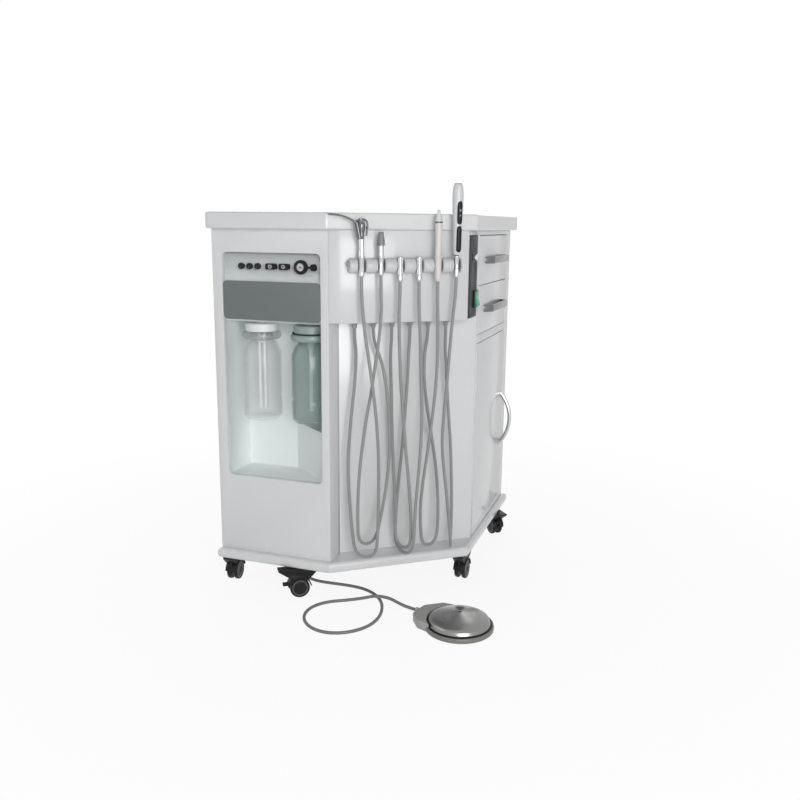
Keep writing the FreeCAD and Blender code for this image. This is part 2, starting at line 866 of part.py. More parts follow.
def build_smoked_panel():
    """The smoked cover plate in the window, on four short bosses."""
    x0 = WINDOW_LEFT + S.smoked_gap
    x1 = WINDOW_RIGHT - S.smoked_gap
    front = FACE_FRONT + 1
    cover = plate(x0, x1, SMOKED_BOTTOM, SMOKED_TOP, S.window_round - S.smoked_gap, S.smoked_thick)
    place(cover, y=front)
    back = front + S.smoked_thick
    bosses = [
        rod(4.0, BAY_FRONT - back + 0.5, x, back - 0.5, z, "Y")
        for x in (x0 + 14, x1 - 14)
        for z in (SMOKED_BOTTOM + 14, SMOKED_TOP - 14)
    ]
    node("smoked_panel", fuse(cover, *bosses))


def build_valve_knobs():
    """Three small fluted valve knobs on the control strip."""
    for index, x in enumerate(valve_places(), start=1):
        knob = turned(
            [
                (0.0, 0.0),
                (S.valve_radius - 1, 0.0),
                (S.valve_radius, 1.0),
                (S.valve_radius, S.knob_reach - 5),
                (S.knob_shaft + 1.5, S.knob_reach - 2),
                (S.knob_shaft + 1.5, S.knob_reach - S.slide_gap),
                (S.knob_shaft, S.knob_reach - S.slide_gap),
                (S.knob_shaft, S.knob_reach + S.bay_wall - 0.5),
                (0.0, S.knob_reach + S.bay_wall - 0.5),
            ]
        )
        place(knob, x, BAY_FRONT - S.knob_reach, CONTROL_HEIGHT, -90.0, VECTOR(1, 0, 0))
        node(f"valve_knob_{index}", knob)


def build_quick_couplers():
    """Two low black quick couplers on the control strip."""
    pieces = []
    for middle in coupler_places():
        half = S.coupler_width / 2
        low = CONTROL_HEIGHT - S.coupler_tall / 2
        high = CONTROL_HEIGHT + S.coupler_tall / 2
        block = plate(middle - half, middle + half, low, high, 4.0, 12.0)
        place(block, y=BAY_FRONT - 12)
        socket = rod(3.5, 8.0, middle, BAY_FRONT - 13, CONTROL_HEIGHT, "Y")
        pieces.append(cut(block, socket))
    node("quick_couplers", group(*pieces))


def build_pressure_gauge():
    """The round pressure gauge in its black housing, with the regulator's bearing on the right."""
    x = GAUGE_X
    r = S.gauge_radius
    reach = S.gauge_reach
    housing = turned(
        [
            (0.0, 2.5),
            (r - 3, 2.5),
            (r - 2.5, 0.0),
            (r - 1, 0.0),
            (r, 2.0),
            (r, reach),
            (0.0, reach),
        ]
    )
    place(housing, x, BAY_FRONT - reach, CONTROL_HEIGHT, -90.0, VECTOR(1, 0, 0))
    y = BAY_FRONT - reach / 2
    arm = rod(4.0, r + 4, x, y, CONTROL_HEIGHT, "X")
    bore = rod(S.knob_shaft + S.running_gap, 10.0, x + r + 4 - 10, y, CONTROL_HEIGHT, "X")
    node("pressure_gauge", cut(fuse(housing, arm), bore))


def build_regulator_knob():
    """The regulator's knob on its level shaft at the gauge's right."""
    x = GAUGE_X + S.gauge_radius
    y = BAY_FRONT - S.gauge_reach / 2
    reach = x + 4 - 8
    length = S.regulator_length
    shaft = rod(S.knob_shaft, 8 + 9.0, reach, y, CONTROL_HEIGHT, "X")
    knob = rod(S.regulator_radius, length, x + 12, y, CONTROL_HEIGHT, "X")
    node("regulator_knob", fuse(shaft, knob))


def bottle_places():
    """Row x of the two bottles."""
    r = S.bottle_radius
    return WINDOW_LEFT + S.bottle_left + r, WINDOW_RIGHT - S.bottle_right - r


BOTTLE_Y = BAY_FRONT + BAY_DEPTH / 2 - 1


def build_bottles():
    """Both bottles, hollow, with their necks up inside the caps."""
    r = S.bottle_radius
    wall = S.bottle_wall
    neck = S.neck_radius
    low = BOTTLE_BOTTOM
    shoulder = COLLAR_BOTTOM - S.shoulder_drop
    neck_start = COLLAR_BOTTOM - 6
    neck_end = CAP_BOTTOM + 8
    profile = [
        (0.0, low + 5),
        (r - 14, low + 3),
        (r - 12, low),
        (r - 4, low),
        (r, low + 5),
        (r, shoulder),
        (neck + 6, neck_start - 6),
        (neck, neck_start),
        (neck, neck_end),
        (neck - wall, neck_end),
        (neck - wall, neck_start),
        (neck + 3, neck_start - 8),
        (r - wall, shoulder - 2),
        (r - wall, low + 7),
        (0.0, low + 7 + wall / 2),
    ]
    for name, x in zip(("water_bottle", "waste_bottle"), bottle_places()):
        node(name, place(turned(profile), x, BOTTLE_Y, 0.0))


def build_bottle_caps():
    """The two fixed caps, each with a collar, a dip tube and a stem to the bay's ceiling."""
    bore = S.neck_radius + S.slide_gap
    tube = 4.5
    profile = [
        (0.0, CAP_BOTTOM + 10),
        (tube - 1.5, CAP_BOTTOM + 10),
        (tube - 1.5, BOTTLE_BOTTOM + 25),
        (tube, BOTTLE_BOTTOM + 25),
        (tube, CAP_BOTTOM + 9),
        (bore, CAP_BOTTOM + 9),
        (bore, COLLAR_BOTTOM),
        (S.collar_radius - 2, COLLAR_BOTTOM),
        (S.collar_radius, COLLAR_BOTTOM + 2),
        (S.collar_radius, CAP_BOTTOM - 2),
        (S.cap_radius, CAP_BOTTOM + 1),
        (S.cap_radius, CAP_TOP - 2),
        (S.cap_radius - 3, CAP_TOP),
        (14.0, CAP_TOP),
        (14.0, BAY_CEILING),
        (0.0, BAY_CEILING),
    ]
    caps = [place(turned(profile), x, BOTTLE_Y, 0.0) for x in bottle_places()]
    node("bottle_caps", group(*caps))


# ---------------------------------------------------------------- hanger box
def build_hanger_box():
    """The hollow box under the worktop that carries the instrument rail."""
    wall = S.box_wall
    end = FACE_RIGHT - S.switch_thick
    deep = S.corner_inset
    front = S.box_inset
    post_along = (FACE_FRONT - FRONT) * SIN - S.post_inset * COS
    post_inset = (FACE_FRONT - FRONT) * COS + S.post_inset * SIN
    bend = post_along + S.box_bend
    outer = [
        (post_along, post_inset),
        (bend, front),
        (slant_at_x(end, front), front),
        (slant_at_x(end, deep), deep),
        (slant_at_x(POST_X, deep), deep),
    ]
    inner = [
        (post_along + 12, post_inset + wall),
        (bend + 1, front + wall),
        (slant_at_x(end - wall, front + wall), front + wall),
        (slant_at_x(end - wall, deep + 5), deep + 5),
        (slant_at_x(POST_X, deep + 5) + wall + 2, deep + 5),
        (slant_at_x(POST_X, post_inset + wall) + 8, post_inset + wall + 2),
    ]
    x, y = slant_to_row(0.0, 0.0)
    solid = place(prism(outer, S.box_height), x, y, BOX_BOTTOM, S.chamfer_angle)
    hollow = place(prism(inner, S.box_height), x, y, BOX_BOTTOM + wall, S.chamfer_angle)
    node("hanger_box", cut(solid, hollow, rocker_opening(end - wall * 2, end + 1)))


def switch_span():
    """Row y of the near and far ends of the switch panel."""
    near = slant_to_row(slant_at_x(FACE_RIGHT, S.box_inset), S.box_inset)[1]
    far = slant_to_row(slant_at_x(FACE_RIGHT, S.corner_inset), S.corner_inset)[1]
    return near, far


def build_switch_panel():
    """The dark end panel with openings for the rocker and the key switch."""
    near, far = switch_span()
    thick = S.switch_thick
    x0 = FACE_RIGHT - thick
    low = BOX_BOTTOM + S.switch_margin
    far = far - thick * tangent(S.chamfer_angle) - S.slide_gap
    panel = box(x0, FACE_RIGHT, near + 1, far, low, TOP_UNDER - S.switch_drop)
    rocker = rocker_opening(x0 - 1, FACE_RIGHT + 1)
    key = rod(S.key_radius * 0.6 + S.running_gap, thick + 2, x0 - 1, key_place(), KEY_CENTRE, "X")
    reach = S.rocker_width + 6
    start = switch_middle() - reach / 2
    pins = rod(S.rocker_pin + S.running_gap, reach, ROCKER_X, start, ROCKER_CENTRE, "Y")
    node("switch_panel", cut(panel, rocker, key, pins))


ROCKER_CENTRE = BOX_BOTTOM + S.rocker_rise
ROCKER_X = FACE_RIGHT - S.switch_thick / 2
KEY_CENTRE = TOP_UNDER - S.key_drop


def rocker_opening(x0, x1):
    """A block that clears the rocker all round, between two values of x."""
    y = switch_middle()
    side = S.rocker_width / 2 + 1
    end = S.rocker_height / 2 + 1
    return box(x0, x1, y - side, y + side, ROCKER_CENTRE - end, ROCKER_CENTRE + end)


def switch_middle():
    """Row y of the rocker's middle."""
    return switch_span()[1] - 21


def key_place():
    """Row y of the key switch's axis."""
    return switch_span()[0] + 28


def build_power_rocker():
    """The green rocker: a hollow-faced key on two small pins along Y, its upper end pressed."""
    half = S.rocker_height / 2
    rise = S.switch_thick / 2 + 6
    back = S.switch_thick / 2 - 0.6
    points = [
        (-back, -half),
        (rise, -half),
        (rise - 2.5, 0.0),
        (rise, half),
        (-back, half),
    ]
    body = prism(points, S.rocker_width, "XZ_Plane", reverse=True)
    near = switch_middle() - S.rocker_width / 2
    place(body, ROCKER_X, near, ROCKER_CENTRE, -S.rocker_tilt, VECTOR(0, 1, 0))
    pins = rod(S.rocker_pin, S.rocker_width + 5, ROCKER_X, near - 2.5, ROCKER_CENTRE, "Y")
    node("power_rocker", fuse(body, pins))


def build_key_switch():
    """The round bright key switch with its slot."""
    start = FACE_RIGHT - S.switch_thick + 0.3
    stem = rod(S.key_radius * 0.6, S.switch_thick - 0.3, start, key_place(), KEY_CENTRE, "X")
    head = rod(S.key_radius, 8.0, FACE_RIGHT + S.slide_gap, key_place(), KEY_CENTRE, "X")
    neck = rod(S.key_radius * 0.6, 1.0, FACE_RIGHT - 0.3, key_place(), KEY_CENTRE, "X")
    slot = box(
        FACE_RIGHT + 5,
        FACE_RIGHT + 12,
        key_place() - 0.8,
        key_place() + 0.8,
        KEY_CENTRE - 5,
        KEY_CENTRE + 5,
    )
    node("key_switch", cut(fuse(stem, neck, head), slot))


# ---------------------------------------------------------------- instruments
def slot_places():
    """Distance of each instrument slot along the slanted edge."""
    return [S.slot_first + S.slot_pitch * index for index in range(6)]


def slot_radii():
    """Grip radius of the instrument in each slot."""
    return [
        S.syringe_radius,
        S.coupling_radius,
        S.coupling_radius,
        S.coupling_radius,
        S.scaler_radius,
        S.light_stub,
    ]


def build_holder_rail():
    """The round instrument rail with an open slot for each instrument and a foot to the box."""
    start = S.slot_first - S.rail_before
    length = S.rail_before + S.slot_pitch * 5 + S.rail_after
    bar = along_slant(S.rail_radius, length, start, RAIL_INSET, RAIL_CENTRE)
    foot_low = RAIL_CENTRE - S.foot_height / 2
    foot = slanted_box(start + 8, length - 16, RAIL_INSET + 4, S.box_inset, foot_low, S.foot_height)
    slots = []
    for along, radius in zip(slot_places(), slot_radii()):
        bore = radius + S.slot_gap
        low = RAIL_CENTRE - S.rail_radius - 1
        high = S.rail_radius * 2 + 2
        slots.append(place_slanted(rod(bore, high), along, SLOT_INSET, low))
        slots.append(slanted_box(along - bore, bore * 2, SLOT_INSET - 30, SLOT_INSET, low, high))
    node("holder_rail", cut(fuse(bar, foot), *slots))


def along_slant(radius, length, start, inset, z):
    """A level cylinder that runs along the slanted face."""
    cylinder = place_slanted(rod(radius, length), start, inset, z)
    turn = FreeCAD.Rotation(UP, number(S.chamfer_angle)) * FreeCAD.Rotation(VECTOR(0, 1, 0), 90)
    cylinder.setExpression("Placement.Rotation.Angle", None)
    cylinder.Placement = FreeCAD.Placement(cylinder.Placement.Base, turn)
    return cylinder


def slanted_box(along, length, inset0, inset1, z, height):
    """A block on the slanted face, from one inset to another."""
    block = DOC.addObject("Part::Box", "SlantBlock")
    bind(block, "Length", length)
    bind(block, "Width", inset1 - inset0)
    bind(block, "Height", height)
    return place_slanted(block, along, inset0, z)


def hang(profile, slot):
    """A turned instrument standing in one of the slots, its heights counted from the rail's axis."""
    return place_slanted(turned(profile), slot_places()[slot], SLOT_INSET, RAIL_CENTRE)


def tail(radius, length):
    """Profile points of an instrument's lower end, up to its grip."""
    return [(0.0, -length), (radius - 2, -length), (radius, -length + 3)]


def shoulder(radius):
    """Profile points of the flange that rests on the rail, from the grip outwards and back."""
    rest = S.rail_radius + S.slide_gap
    wide = radius + S.flange_width
    top = rest + S.flange_height
    return [(radius, rest), (wide, rest + 0.5), (wide, top), (radius, top + 2)]


def build_syringe():
    """The three-way syringe: grip with head, bent nozzle and thumb button."""
    r = S.syringe_radius
    top = S.syringe_height
    head = r + S.head_width
    neck = top - S.head_height
    end = [(r, neck), (head, neck + 6), (head, top - 5), (r, top), (0.0, top)]
    grip = hang([*tail(r, S.syringe_tail), *shoulder(r), *end], 0)
    along = slot_places()[0]
    level = RAIL_CENTRE + top - 14
    pocket = along_slant(S.rocker_pin + 1.8, 30.0, along + 1.5, SLOT_INSET, level)
    node("syringe_body", cut(grip, pocket))
    stem = along_slant(S.rocker_pin + 1.7, 9.0, along + 4.5, SLOT_INSET, level)
    pad_top = along_slant(4.2, 3.0, along + head + 3, SLOT_INSET, level)
    node("syringe_button", fuse(stem, pad_top))
    node("syringe_nozzle", nozzle_tube())


def nozzle_tube():
    """The bent nozzle: a thin tube from the head's top, out to the left and level at its end."""
    along = number(slot_places()[0])
    inset = number(SLOT_INSET)
    top = number(RAIL_CENTRE) + number(S.syringe_height)
    path = ((0, 0), (0, 5), (-8, 8.5), (-18, 10.5), (-32, 11.7), (-48, 12), (-69, 12))
    points = []
    for shift, rise in path:
        x, y = slant_to_row(along + shift, inset)
        points.append(VECTOR(number(x), number(y), top + rise))
    tube = DOC.addObject("Part::Feature", "Nozzle")
    tube.Shape = round_tube(points, number(S.nozzle_radius))
    return tube


def build_couplings():
    """The three tubing couplings: one with a grey cap, two bare."""
    r = S.coupling_radius
    top = S.capped_height
    cap = top - S.cap_length
    end = [(r, cap), (r + 2, cap + 1), (r + 1, cap + 16), (r - 0.8, top - 1), (0.0, top)]
    node("capped_coupling", hang([*tail(r, S.capped_tail), *shoulder(r), *end], 1))
    top = S.coupling_height
    for name, slot in (("motor_coupling", 2), ("turbine_coupling", 3)):
        end = [(r - 1.5, top - 1.5), (r - 3, top), (0.0, top)]
        node(name, hang([*tail(r, S.coupling_tail), *shoulder(r), *end], slot))


def build_scaler():
    """The scaler handpiece with its dark ring and fine tip."""
    r = S.scaler_radius
    top = S.scaler_height
    nose = top - S.scaler_nose
    profile = [
        *tail(r, S.coupling_tail),
        *shoulder(r),
        (r, nose),
        (r + 1, nose + 6),
        (r + 1, nose + 12),
        (r - 2, nose + 16),
        (3.8, nose + 24),
        (3.4, top - 3),
        (2.4, top),
        (0.0, top),
    ]
    node("scaler_handpiece", hang(profile, 4))


def build_curing_light():
    """The slim white curing light, widest near its top."""
    r = S.light_radius
    stub = S.light_stub
    top = S.light_height
    profile = [
        *tail(stub, S.light_tail),
        *shoulder(stub),
        (stub + 2, S.rail_radius + 9),
        (r - 2.5, S.rail_radius + 23),
        (r - 1, top * 0.52),
        (r, top - 37),
        (r, top - 24),
        (r - 2.5, top - 7),
        (r - 7, top),
        (0.0, top),
    ]
    node("curing_light", hang(profile, 5))


# ---------------------------------------------------------------- hoses
# Each route is in the slanted frame: along the slanted edge, inwards from it, height.
HOSE_ROUTES = {
    "syringe_hose": [
        (69, -20, 721), (69, -20, 690), (71, -21, 652), (75, -23, 611), (80, -26, 570),
        (86, -28, 528), (92, -28, 485), (98, -27, 440), (103, -24, 395), (107, -20, 345),
        (109, -17, 294), (110, -14, 245), (110, -12, 200), (109, -11, 157), (107, -10, 116),
        (94, -4, 100), (75, 5, 100), (62, 11, 116), (57, 12, 157), (54, 15, 200),
        (51, 18, 254), (50, 21, 311), (54, 24, 367), (60, 27, 424), (67, 29, 476),
        (71, 31, 524), (72, 33, 563), (69, 34, 587), (69, 34, 610),
    ],
    "capped_hose": [
        (111, -20, 723), (111, -20, 692), (113, -19, 652), (110, -17, 604), (105, -14, 558),
        (99, -12, 515), (93, -11, 473), (84, -9, 425), (76, -9, 372), (69, -8, 312),
        (65, -7, 250), (64, -7, 189), (66, -6, 147), (80, -1, 131), (100, 5, 131),
        (114, 10, 147), (123, 11, 186), (133, 11, 240), (141, 12, 300), (144, 14, 360),
        (143, 17, 415), (140, 20, 458), (136, 24, 494), (130, 28, 530), (120, 32, 560),
        (111, 34, 586), (111, 34, 610),
    ],
    "motor_hose": [
        (153, -20, 710), (153, -20, 680), (151, -20, 645), (152, -20, 598), (154, -20, 548),
        (157, -19, 490), (163, -18, 430), (168, -17, 368), (174, -19, 305), (180, -18, 248),
        (183, -19, 206), (184, -20, 167), (183, -20, 127), (177, -7, 112), (169, 12, 112),
        (163, 26, 127), (161, 26, 167), (161, 23, 206), (158, 24, 262), (155, 26, 330),
        (153, 28, 395), (152, 29, 450), (151, 32, 505), (150, 33, 552), (153, 34, 584),
        (153, 34, 610),
    ],
    "turbine_hose": [
        (195, -20, 710), (195, -20, 672), (197, -21, 625), (200, -22, 565), (202, -22, 500),
        (204, -26, 435), (202, -28, 370), (198, -29, 305), (192, -31, 245), (189, -31, 195),
        (187, -32, 155), (186, -31, 121), (180, -12, 100), (170, 16, 100), (164, 35, 121),
        (166, 36, 160), (169, 36, 215), (174, 36, 275), (180, 35, 335), (184, 34, 395),
        (188, 34, 450), (191, 33, 505), (192, 33, 550), (195, 34, 584), (195, 34, 610),
    ],
    "scaler_hose": [
        (237, -20, 710), (237, -20, 672), (239, -20, 625), (240, -20, 570), (239, -20, 512),
        (235, -19, 455), (229, -18, 398), (222, -17, 340), (215, -15, 285), (210, -14, 242),
        (208, -13, 205), (209, -13, 165), (213, -11, 127), (226, -5, 112), (245, 4, 112),
        (258, 10, 127), (261, 12, 165), (261, 16, 222), (257, 20, 285), (249, 24, 345),
        (239, 27, 405), (231, 30, 462), (228, 32, 515), (230, 33, 556), (237, 34, 586),
        (237, 34, 610),
    ],
    "light_hose": [
        (279, -20, 718), (279, -20, 688), (275, -20, 650), (270, -21, 600), (266, -21, 545),
        (262, -22, 485), (257, -22, 425), (253, -22, 368), (257, -22, 312), (264, -22, 258),
        (271, -21, 206), (277, -19, 156), (281, -18, 117), (286, -5, 102), (294, 14, 102),
        (299, 27, 117), (301, 29, 157), (301, 30, 210), (299, 31, 275), (295, 31, 345),
        (289, 32, 412), (284, 33, 475), (281, 34, 530), (278, 33, 562), (279, 34, 587),
        (279, 34, 610),
    ],
}

# The foot hose is given from the worktop's front corner: to the right, backwards, height.
FOOT_ROUTE = [
    (-150, 170, 54), (-150, 170, 31), (-137, 153, 9), (-113, 118, 3.5), (-84, 97, 3.5),
    (-42, 95, 3.5), (3, 98, 3.5), (45, 94, 3.5), (80, 76, 3.5), (106, 47, 3.5),
    (122, 12, 3.5), (130, -28, 3.5), (126, -68, 3.5), (108, -101, 3.5), (80, -124, 3.5),
    (46, -133, 3.5), (11, -123, 3.5), (-15, -99, 3.5), (-29, -66, 3.5), (-26, -29, 3.5),
    (-4, 2, 3.5), (30, 22, 3.5), (66, 33, 9), (97, 37, 19), (129, 36, 19),
    (155, 27.5, 14), (176.4, 20.1, 12), (197.6, 14.8, 12),
]


def softened(points):
    """Straight runs joined by tangent arcs, each as large as its two runs allow."""
    edges = []
    start = points[0]
    radii = []
    for before, corner, after in zip(points, points[1:], points[2:]):
        one = before - corner
        two = after - corner
        half_turn = (math.pi - one.getAngle(two)) / 2
        trim = 0.45 * min(one.Length, two.Length)
        radii.append(trim / math.tan(half_turn))
        enter = corner + VECTOR(one).normalize() * trim
        leave = corner + VECTOR(two).normalize() * trim
        bisector = (VECTOR(one).normalize() + VECTOR(two).normalize()).normalize()
        centre_distance = radii[-1] / math.cos(half_turn)
        middle = corner + bisector * (centre_distance - radii[-1])
        edges.append(Part.LineSegment(start, enter).toShape())
        edges.append(Part.Arc(enter, middle, leave).toShape())
        start = leave
    edges.append(Part.LineSegment(start, points[-1]).toShape())
    return Part.Wire(edges), radii


def round_tube(points, radius):
    """A round solid along a softened path."""
    wire, radii = softened(points)
    ring = Part.Wire([Part.Circle(points[0], points[1] - points[0], radius).toShape()])
    tube = wire.makePipeShell([ring], True, False)
    wanted = math.pi * radius ** 2 * wire.Length
    drift = abs(tube.Volume / wanted - 1)
    print(f"tube length {wire.Length:.0f} tightest {min(radii):.1f} volume off by {drift:.4f}")
    if drift > 0.01:
        raise ValueError("a tube's volume is not its section times its length")
    return tube


def build_hoses():
    """The six instrument hoses and the hose of the foot control."""
    for name, route in HOSE_ROUTES.items():
        points = []
        for along, inset, z in route:
            x, y = slant_to_row(along, inset)
            points.append(VECTOR(number(x), number(y), z))
        hose = DOC.addObject("Part::Feature", "Hose")
        hose.Shape = round_tube(points, number(S.hose_radius))
        node(name, hose)
    corner = VECTOR(number(CORNER_X), number(FRONT), 0)
    hose = DOC.addObject("Part::Feature", "Hose")
    hose.Shape = round_tube([corner + VECTOR(*point) for point in FOOT_ROUTE], number(S.hose_radius))
    node("foot_hose", hose)


def build_hose_glands():
    """The row of glands under the hanger box and the gland under the base."""
    top = S.gland_length
    r = S.gland_radius
    bore = S.hose_radius
    profile = [(0.0, 0.0), (bore + 1.5, 0.0), (r - 1, top - 4), (r + 2, top - 4), (r + 2, top), (0.0, top)]
    low = BOX_BOTTOM - top
    glands = [place_slanted(turned(profile), along, S.gland_inset, low) for along in slot_places()]
    foot = turned([*profile[:4], (r + 2, top + 2), (0.0, top + 2)])
    place(foot, CORNER_X - S.foot_gland_left, FRONT + S.foot_gland_back, S.base_bottom - top - 2)
    glands.append(foot)
    node("hose_glands", group(*glands))


# ---------------------------------------------------------------- foot control
PEDAL_RADIUS = S.disc_radius + S.pedal_ring
PEDAL_X = RIGHT + S.pedal_reach_x - PEDAL_RADIUS
PEDAL_Y = FRONT - S.pedal_reach_y + PEDAL_RADIUS


def build_pedal_base():
    """The foot control's base: a dish with a centre guide and the hose inlet's housing."""
    bore = S.guide_radius + S.running_gap
    post_top = S.disc_apex - S.guide_drop
    dish = turned(
        [
            (0.0, 0.0),
            (PEDAL_RADIUS - 2, 0.0),
            (PEDAL_RADIUS, 2.0),
            (PEDAL_RADIUS, S.pedal_rim - 1),
            (PEDAL_RADIUS - 1, S.pedal_rim),
            (S.disc_radius + 2, S.pedal_rim),
            (S.disc_radius + 2, S.pedal_plate),
            (bore + 4, S.pedal_plate),
            (bore + 4, post_top),
            (bore, post_top),
            (bore, S.pedal_plate),
            (0.0, S.pedal_plate),
        ]
    )
    place(dish, PEDAL_X, PEDAL_Y, 0.0)
    end = PEDAL_RADIUS + S.arm_length
    half = S.arm_width / 2
    side = [
        (S.disc_radius * 0.45, half),
        (PEDAL_RADIUS - 1, half * 0.9),
        (end - 4.5, half * 0.48),
        (end, half * 0.36),
    ]
    block = prism([*((along, -across) for along, across in side), *reversed(side)], S.arm_height)
    well = rod(S.disc_radius + 2, S.arm_height, z=S.pedal_plate)
    arm = place(cut(block, well), PEDAL_X, PEDAL_Y, 0.0, S.arm_angle)
    inlet = rod(S.hose_radius + 2.5, S.inlet_length, towards="X")
    x = PEDAL_X + cosine(S.arm_angle) * end
    y = PEDAL_Y + sine(S.arm_angle) * end
    spin = FreeCAD.Rotation(UP, number(S.arm_angle)) * FreeCAD.Rotation(VECTOR(0, 1, 0), 90)
    place(inlet, x, y, S.inlet_height)
    inlet.Placement = FreeCAD.Placement(inlet.Placement.Base, spin)
    node("pedal_base", fuse(dish, arm, inlet))


def build_pedal_disc():
    """The domed disc that the foot presses, with its centre stem."""
    r = S.disc_radius
    wall = S.disc_wall
    rise = S.disc_apex - S.disc_rim
    low = S.disc_rim - 1.5
    dome = [(0.0, 1.0), (0.12, 0.95), (0.5, 0.7), (0.86, 0.46), (0.95, 0.34), (0.985, 0.15), (1.0, 0.0)]
    outer = [(r * share, S.disc_rim + rise * height) for share, height in dome]
    inner = [((r - wall) * share, S.disc_rim - wall + rise * height) for share, height in dome[1:]]
    stem = S.guide_radius
    profile = [
        *outer,
        (r, low),
        (r - wall, low),
        *reversed(inner[:-1]),
        (stem, S.disc_rim - wall + rise * 0.96),
        (stem, low + 1),
        (0.0, low + 1),
    ]
    node("pedal_disc", place(turned(profile), PEDAL_X, PEDAL_Y, 0.0))


# ---------------------------------------------------------------- casters
def build_casters():
    """Five twin-wheel casters: a hooded fork on a stem, and two wheels on one axle."""
    r = S.wheel_radius
    for name, (x, y, angle) in caster_places().items():
        node(f"caster_{name}", place(caster_fork(), x, y, 0.0, angle))
        node(f"wheels_{name}", place(caster_wheels(r), x, y, 0.0, angle))


def caster_fork():
    """Stem, crown, web and hood, with the wheels' axle bore; the wheels trail along +X."""
    r = S.wheel_radius
    trail = S.caster_trail
    half = S.wheel_gap / 2 + S.wheel_width
    shell = r + S.hood_gap
    top = S.base_bottom - S.slide_gap
    stem = rod(S.stem_radius, S.stem_depth + 6, z=S.base_bottom - 6)
    crown = prism(
        [
            (-S.crown_back, top),
            (S.crown_front, top),
            (S.crown_front, top - 3),
            (trail + r - 2, r * 2 + 1),
            (trail, r + 14),
            (trail - r - 5, r * 2 + 3),
            (-S.crown_back, top - 5),
        ],
        S.crown_width,
        "XZ_Plane",
    )
    place(crown, y=S.crown_width / 2)
    crown = cut(crown, rod(shell, half * 2 + 4, trail, -half - 2, r, "Y"))
    web = prism(
        [
            (-10.0, top - 10),
            (11.0, top - 10),
            (trail + 14, r + 20),
            (trail + 8, r - 6),
            (trail - 8, r - 6),
            (-6.0, r + 18),
        ],
        S.web_thick,
        "XZ_Plane",
    )
    place(web, y=S.web_thick / 2)
    drum = rod(shell + S.hood_wall, half * 2 + 2, trail, -half - 1, r, "Y")
    inside = rod(shell, half * 2 + 4, trail, -half - 2, r, "Y")
    lower = box(trail - shell - 10, trail + shell + 10, -half - 5, half + 5, r - shell - 10, r + 4)
    hood = cut(drum, inside, lower)
    tab = box(trail + 12, trail + shell + 13, -7.0, 7.0, r + 6, r + 10)
    tab = cut(tab, rod(shell + 0.5, 20.0, trail, -10.0, r, "Y"))
    bore = rod(S.axle_radius + S.running_gap, 20.0, trail, -10.0, r, "Y")
    return cut(fuse(stem, crown, web, hood, tab), bore)


def caster_wheels(r):
    """Two wheels on one axle, its middle at the trail distance."""
    trail = S.caster_trail
    near = -S.wheel_gap / 2 - S.wheel_width
    axle = rod(S.axle_radius, S.wheel_gap + 4, trail, -S.wheel_gap / 2 - 2, r, "Y")
    wheels = [rod(r, S.wheel_width, trail, y, r, "Y") for y in (near, S.wheel_gap / 2)]
    return fuse(axle, *wheels)


# ---------------------------------------------------------------- everything
def build_all():
    """Builds each sub-part of the unit."""
    build_worktop()
    build_base_board()
    build_left_panel()
    build_back_panel()
    build_front_panel()
    build_corner_panel()
    build_right_frame()
    build_inner_case()
    build_drawers()
    build_door()
    build_door_pivots()
    build_door_handle()
    build_compressor()
    build_bottle_bay()
    build_smoked_panel()
    build_valve_knobs()
    build_quick_couplers()
    build_pressure_gauge()
    build_regulator_knob()
    build_bottles()
    build_bottle_caps()
    build_hanger_box()
    build_switch_panel()
    build_power_rocker()
    build_key_switch()
    build_holder_rail()
    build_syringe()
    build_couplings()
    build_scaler()
    build_curing_light()
    build_hoses()
    build_hose_glands()
    build_pedal_base()
    build_pedal_disc()
    build_casters()


def check_document():
    """Stops on any object that failed and on any sub-part with a bad shape."""
    DOC.recompute()
    for thing in DOC.Objects:
        if "Invalid" in thing.State or "Error" in thing.State:
            raise ValueError(f"{thing.Label} ({thing.Name}) failed: {thing.State}")
    for name, thing in NODES.items():
        if thing.Shape.isNull() or not thing.Shape.isValid() or not thing.Shape.Solids:
            raise ValueError(f"{name} has no valid shape")


def write_parts():
    """Writes one STEP file for each sub-part."""
    os.makedirs("parts", exist_ok=True)
    for name, thing in NODES.items():
        thing.Shape.exportStep(f"parts/{name}.step")
        box_size = thing.Shape.BoundBox
        print(f"{name}: {len(thing.Shape.Solids)} solid(s), {thing.Shape.Volume / 1000:.1f} cm3", box_size)


build_all()
check_document()
write_parts()
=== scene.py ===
"""Looks of the portable dental unit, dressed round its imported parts."""

import json
import logging
import math
from dataclasses import dataclass
from enum import Enum
from typing import Callable, Iterable, Optional, Sequence, Union

import bmesh
import bpy
from mathutils import Matrix, Vector


